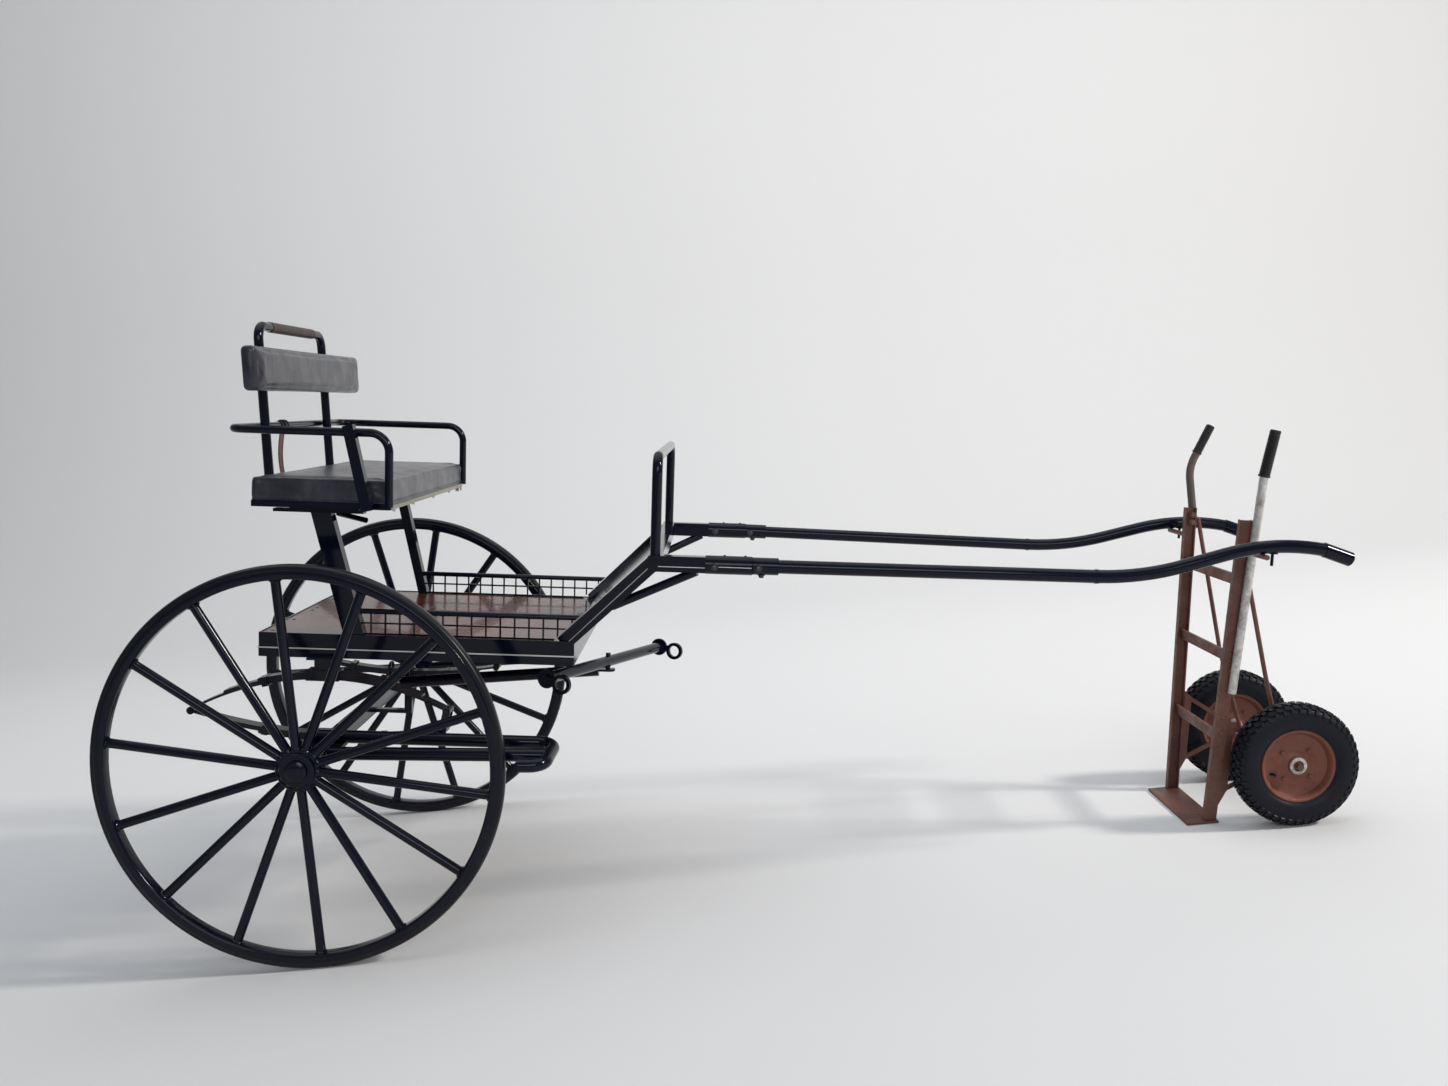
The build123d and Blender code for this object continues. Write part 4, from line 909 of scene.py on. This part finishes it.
def stand_rim(name, middle, half):
    rim, pale, dark = Piece(), Piece(), Piece()
    place = aim(middle, (0, -1, 0))
    dish = [(0.1035, 0.55), (0.1115, 0.72), (0.1135, 0.745), (0.1155, 0.73), (0.1155, 0.765), (0.1125, 0.8),
            (0.1085, 0.775), (0.1045, 0.68), (0.1005, 0.45), (0.0975, 0.32), (0.091, 0.26), (0.07, 0.3), (0.052, 0.32),
            (0.043, 0.36), (0.036, 0.46), (0.0295, 0.5), (0.0275, 0.63), (0.0165, 0.63), (0.0165, 0.3)]
    well = [(0.1035, -0.55), (0.101, -0.3), (0.101, 0.3), (0.1035, 0.55)]
    hub = half * 0.645
    washer = [(0.0165, hub), (0.0168, hub + 0.0045), (0.0262, hub + 0.0045), (0.0275, half * 0.6)]
    axle_end = [(0.0165, hub - 0.004), (0.015, hub), (0.013, hub + 0.0015), (0.004, hub + 0.0015), (0.0032, hub),
                (0, hub)]
    seal = [(0.0272, hub - 0.009), (0.0315, hub - 0.012), (0.0335, hub - 0.022)]
    rim.lathe(place, [(r, half * share) for r, share in well], 72)
    for flip in (1, -1):
        rim.lathe(place, [(r, flip * half * share) for r, share in dish], 72)
        rim.lathe(place, [(r, flip * h) for r, h in axle_end], 40)
        pale.lathe(place, [(r, flip * h) for r, h in washer], 48)
        dark.lathe(place, [(r, flip * h) for r, h in seal], 48)
        for a in ring_of(4, math.radians(45)):
            spot = place @ Vector((0.058 * math.cos(a), 0.058 * math.sin(a), flip * half * 0.31))
            rim.bolt(aim(spot, (0, -flip, 0)), 0.0062, 0.0045)
    stem = place @ Matrix.Rotation(math.radians(197), 4, "Z")
    for radius, line in ((0.0042, ((0.083, 0.26), (0.08, 0.45), (0.0785, 0.62))),
                         (0.0052, ((0.0785, 0.6), (0.0778, 0.72)))):
        dark.tube([stem @ Vector((out, 0, half * share)) for out, share in line], radius, 14)
    made = rim.make("pressed_rim_" + name, STAND_RIM_PAINT, "stand_wheel_" + name, "stand_paint", sharp=40)
    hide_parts("stand_rim_" + name)
    pale.make("hub_washers_" + name, ZINC_STEEL, "stand_wheel_" + name, "zinc_steel")
    dark.make("rim_hardware_" + name, STAND_RUBBER, "stand_wheel_" + name, "stand_rubber")


def stand_wheels():
    for name, _ in SIDES:
        middle, half = box_of("stand_tyre_" + name)
        stand_tyre(name, middle, half[1], half[2])
        stand_rim(name, middle, half[1])


# Ribbed rubber grips on the sack truck's handles
def grip_line(node):
    # The ends of the grip's own axis, from its points
    points = [v.co.copy() for v in node.data.vertices]
    middle = sum(points, Vector()) / len(points)
    along = Vector((0.1, 0, 1)).normalized()
    for _ in range(30):
        along = sum(((p - middle) * (p - middle).dot(along) for p in points), Vector()).normalized()
    reach = [(p - middle).dot(along) for p in points]
    around = [p - middle - along * (p - middle).dot(along) for p in points]
    centre = Vector([(min(q[k] for q in around) + max(q[k] for q in around)) / 2 for k in range(3)])
    return middle + centre + along * min(reach), along, max(reach) - min(reach)


GRIP_RIB = 0.0068


def stand_grips():
    for name, wide in (("right", 0.0168), ("left", 0.0152)):
        foot, along, length = grip_line(frame["nodes"]["stand_grip_" + name])
        profile = [(0.0133, 0.0), (wide * 1.08, 0.001), (wide * 1.08, 0.006), (wide * 0.93, 0.008)]
        for k in range(int(length * 0.84 / GRIP_RIB)):
            z = 0.0095 + GRIP_RIB * k
            profile += [(wide * 0.92, z), (wide, z + 0.0014), (wide, z + 0.0044), (wide * 0.92, z + 0.0056)]
        profile += [(wide * 0.97, length * 0.93), (wide * 0.97, length * 0.97), (wide * 0.84, length), (0, length)]
        grip = Piece()
        grip.lathe(aim(foot, along), profile, 36)
        made = grip.make("ribbed_grip_" + name, GRIP_PLASTIC, "cart", "grip_plastic")
        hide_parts("stand_grip_" + name)


# Rivets and bolts on the sack truck's rails
RAIL_LEAN = math.tan(math.radians(7.9))
RAIL_SPREAD = 0.063 / 0.975
CROSS_BARS = (0.283, 0.543, 0.787)
PLATE_RIVETS = (0.09, 0.15, 0.2, 0.25, 0.31)
TOP_RIVET = 0.345
HANDLE_BOLTS = {-1: (0.5, 0.86), 1: (0.925, 0.95)}


def stand_rivets():
    low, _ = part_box("stand_rails")
    foot_x = low[0] + 0.0202
    rivets, bolts = Piece(), Piece()

    def rail(z, side, across=0.0, out=0.009):
        return Vector((foot_x + z * RAIL_LEAN + across, side * (0.165 + RAIL_SPREAD * z + out), z))

    for _, side in SIDES:
        face = Vector((0, side, -0.065)).normalized()
        for z in CROSS_BARS:
            for lift in (-0.011, 0.011):
                rivets.dome(aim(rail(z + lift, side), face), 0.0055, 0.003)
        for z in PLATE_RIVETS:
            rivets.dome(aim(rail(z, side, 0.011), face), 0.0052, 0.003)
        rivets.dome(aim(rail(TOP_RIVET, side), face), 0.0052, 0.003)
        for z in HANDLE_BOLTS[side]:
            bolts.bolt(aim(rail(z, side, 0.004, 0.0085), face), 0.0075, 0.005)
            bolts.bolt(aim(rail(z, side, 0.004, -0.0085), -face), 0.0075, 0.006)
    rivets.make("rail_rivets", STAND_PAINT, "cart", "stand_paint")
    bolts.make("rail_bolts", STAND_PAINT, "cart", "stand_paint")


# The studio: a floor that curves up into the backdrop, lamps and a pale world
FLOOR_NEAR = -14.0
FLOOR_FAR = 5.0
SWEEP_R = 3.0


def stage():
    profile = [(FLOOR_NEAR, 0), (FLOOR_FAR, 0)]
    for k in range(1, 13):
        t = math.radians(90 * k / 12)
        profile.append((FLOOR_FAR + SWEEP_R * math.sin(t), SWEEP_R - SWEEP_R * math.cos(t)))
    profile.append((FLOOR_FAR + SWEEP_R, 12))
    points = [(x, y, z) for x in (-22, 22) for y, z in profile]
    n = len(profile)
    mesh = bpy.data.meshes.new("studio_floor")
    mesh.from_pydata(points, [], [(k, n + k, n + k + 1, k + 1) for k in range(n - 1)])
    mesh.shade_smooth()
    made, _, shader = new_material("studio_floor", Roughness=0.9, Specular_IOR_Level=0.1)
    shader.inputs["Base Color"].default_value = (0.76, 0.755, 0.75, 1)
    mesh.materials.append(made)
    floor = bpy.data.objects.new("studio_floor", mesh)
    bpy.context.scene.collection.objects.link(floor)


def light(name, spot, target, size, power, tint=(1, 1, 1)):
    lamp = bpy.data.lights.new(name, "AREA")
    lamp.shape = "RECTANGLE"
    lamp.size, lamp.size_y = size
    lamp.energy = power
    lamp.color = tint
    obj = bpy.data.objects.new(name, lamp)
    bpy.context.scene.collection.objects.link(obj)
    turn = (Vector(target) - Vector(spot)).to_track_quat("-Z", "Y").to_matrix().to_4x4()
    obj.matrix_world = Matrix.Translation(spot) @ turn
    obj.visible_camera = False


def lights():
    light("key", (11.0, -2.4, 7.2), (-0.2, 0, 0.7), (1.4, 1.4), 1050, (1.0, 0.96, 0.91))
    light("sky", (0.0, 1.0, 9.5), (0, 0.4, 0.4), (14.0, 9.0), 420, (0.88, 0.93, 1.0))
    light("fill", (1.5, -9.0, 4.5), (0.2, 0, 0.6), (7.0, 3.0), 230, (0.88, 0.93, 1.0))
    light("backdrop", (0.0, 1.0, 5.0), (0, 7.5, 2.5), (10.0, 1.5), 120)


# The world's colour, and its strength as light, in reflections and as the picture's ground
WORLD_COLOUR = (0.84, 0.88, 0.93, 1)
LIGHTING, IN_GLOSS, TO_CAMERA = 0.2, 0.3, 0.65


def world():
    made = bpy.data.worlds.new("studio")
    made.use_nodes = True
    tree = made.node_tree
    back = tree.nodes["Background"]
    back.inputs["Color"].default_value = WORLD_COLOUR
    rays = put(tree, "ShaderNodeLightPath").outputs
    glossy = ramp(tree, rays["Is Glossy Ray"], 0.0, 1.0, LIGHTING, IN_GLOSS)
    seen = ramp(tree, rays["Is Camera Ray"], 0.0, 1.0, 0.0, TO_CAMERA)
    wire(tree, back, Strength=larger(tree, glossy, seen))
    bpy.context.scene.world = made


# The camera, fitted to the photograph in the cart's own frame
PHOTO_WIDTH = 1448
FOCAL = 1250.0
CAMERA_SPOT = (1.136, -4.062, 1.052)
YAW, TILT, ROLL = math.radians(0.41), math.radians(-6.44), math.radians(1.9)


def camera():
    ahead = Vector((math.sin(YAW) * math.cos(TILT), math.cos(YAW) * math.cos(TILT), math.sin(TILT)))
    right = Vector((math.cos(YAW), -math.sin(YAW), 0))
    up = right.cross(ahead)
    across = right * math.cos(ROLL) + up * math.sin(ROLL)
    over = up * math.cos(ROLL) - right * math.sin(ROLL)
    turn = Matrix((across, over, -ahead)).transposed().to_4x4()
    lens = bpy.data.cameras.new("photo_camera")
    lens.sensor_width = 36.0
    lens.lens = lens.sensor_width * FOCAL / PHOTO_WIDTH
    lens.clip_start = 0.05
    obj = bpy.data.objects.new("photo_camera", lens)
    bpy.context.scene.collection.objects.link(obj)
    obj.matrix_world = CART @ Matrix.Translation(CAMERA_SPOT) @ turn
    bpy.context.scene.camera = obj


finish_nodes()
wheel_rings()
wheel_trim()
hub_trim()
spring_trim()
platform_trim()
sleeve_trim()
painted_glint_lines()
seat_edges()
back_strap()
seat_cushion()
backrest_pad()
handle_wrap()
stand_wheels()
stand_grips()
stand_rivets()
stage()
lights()
world()
camera()

bpy.context.scene.view_settings.view_transform = "Standard"
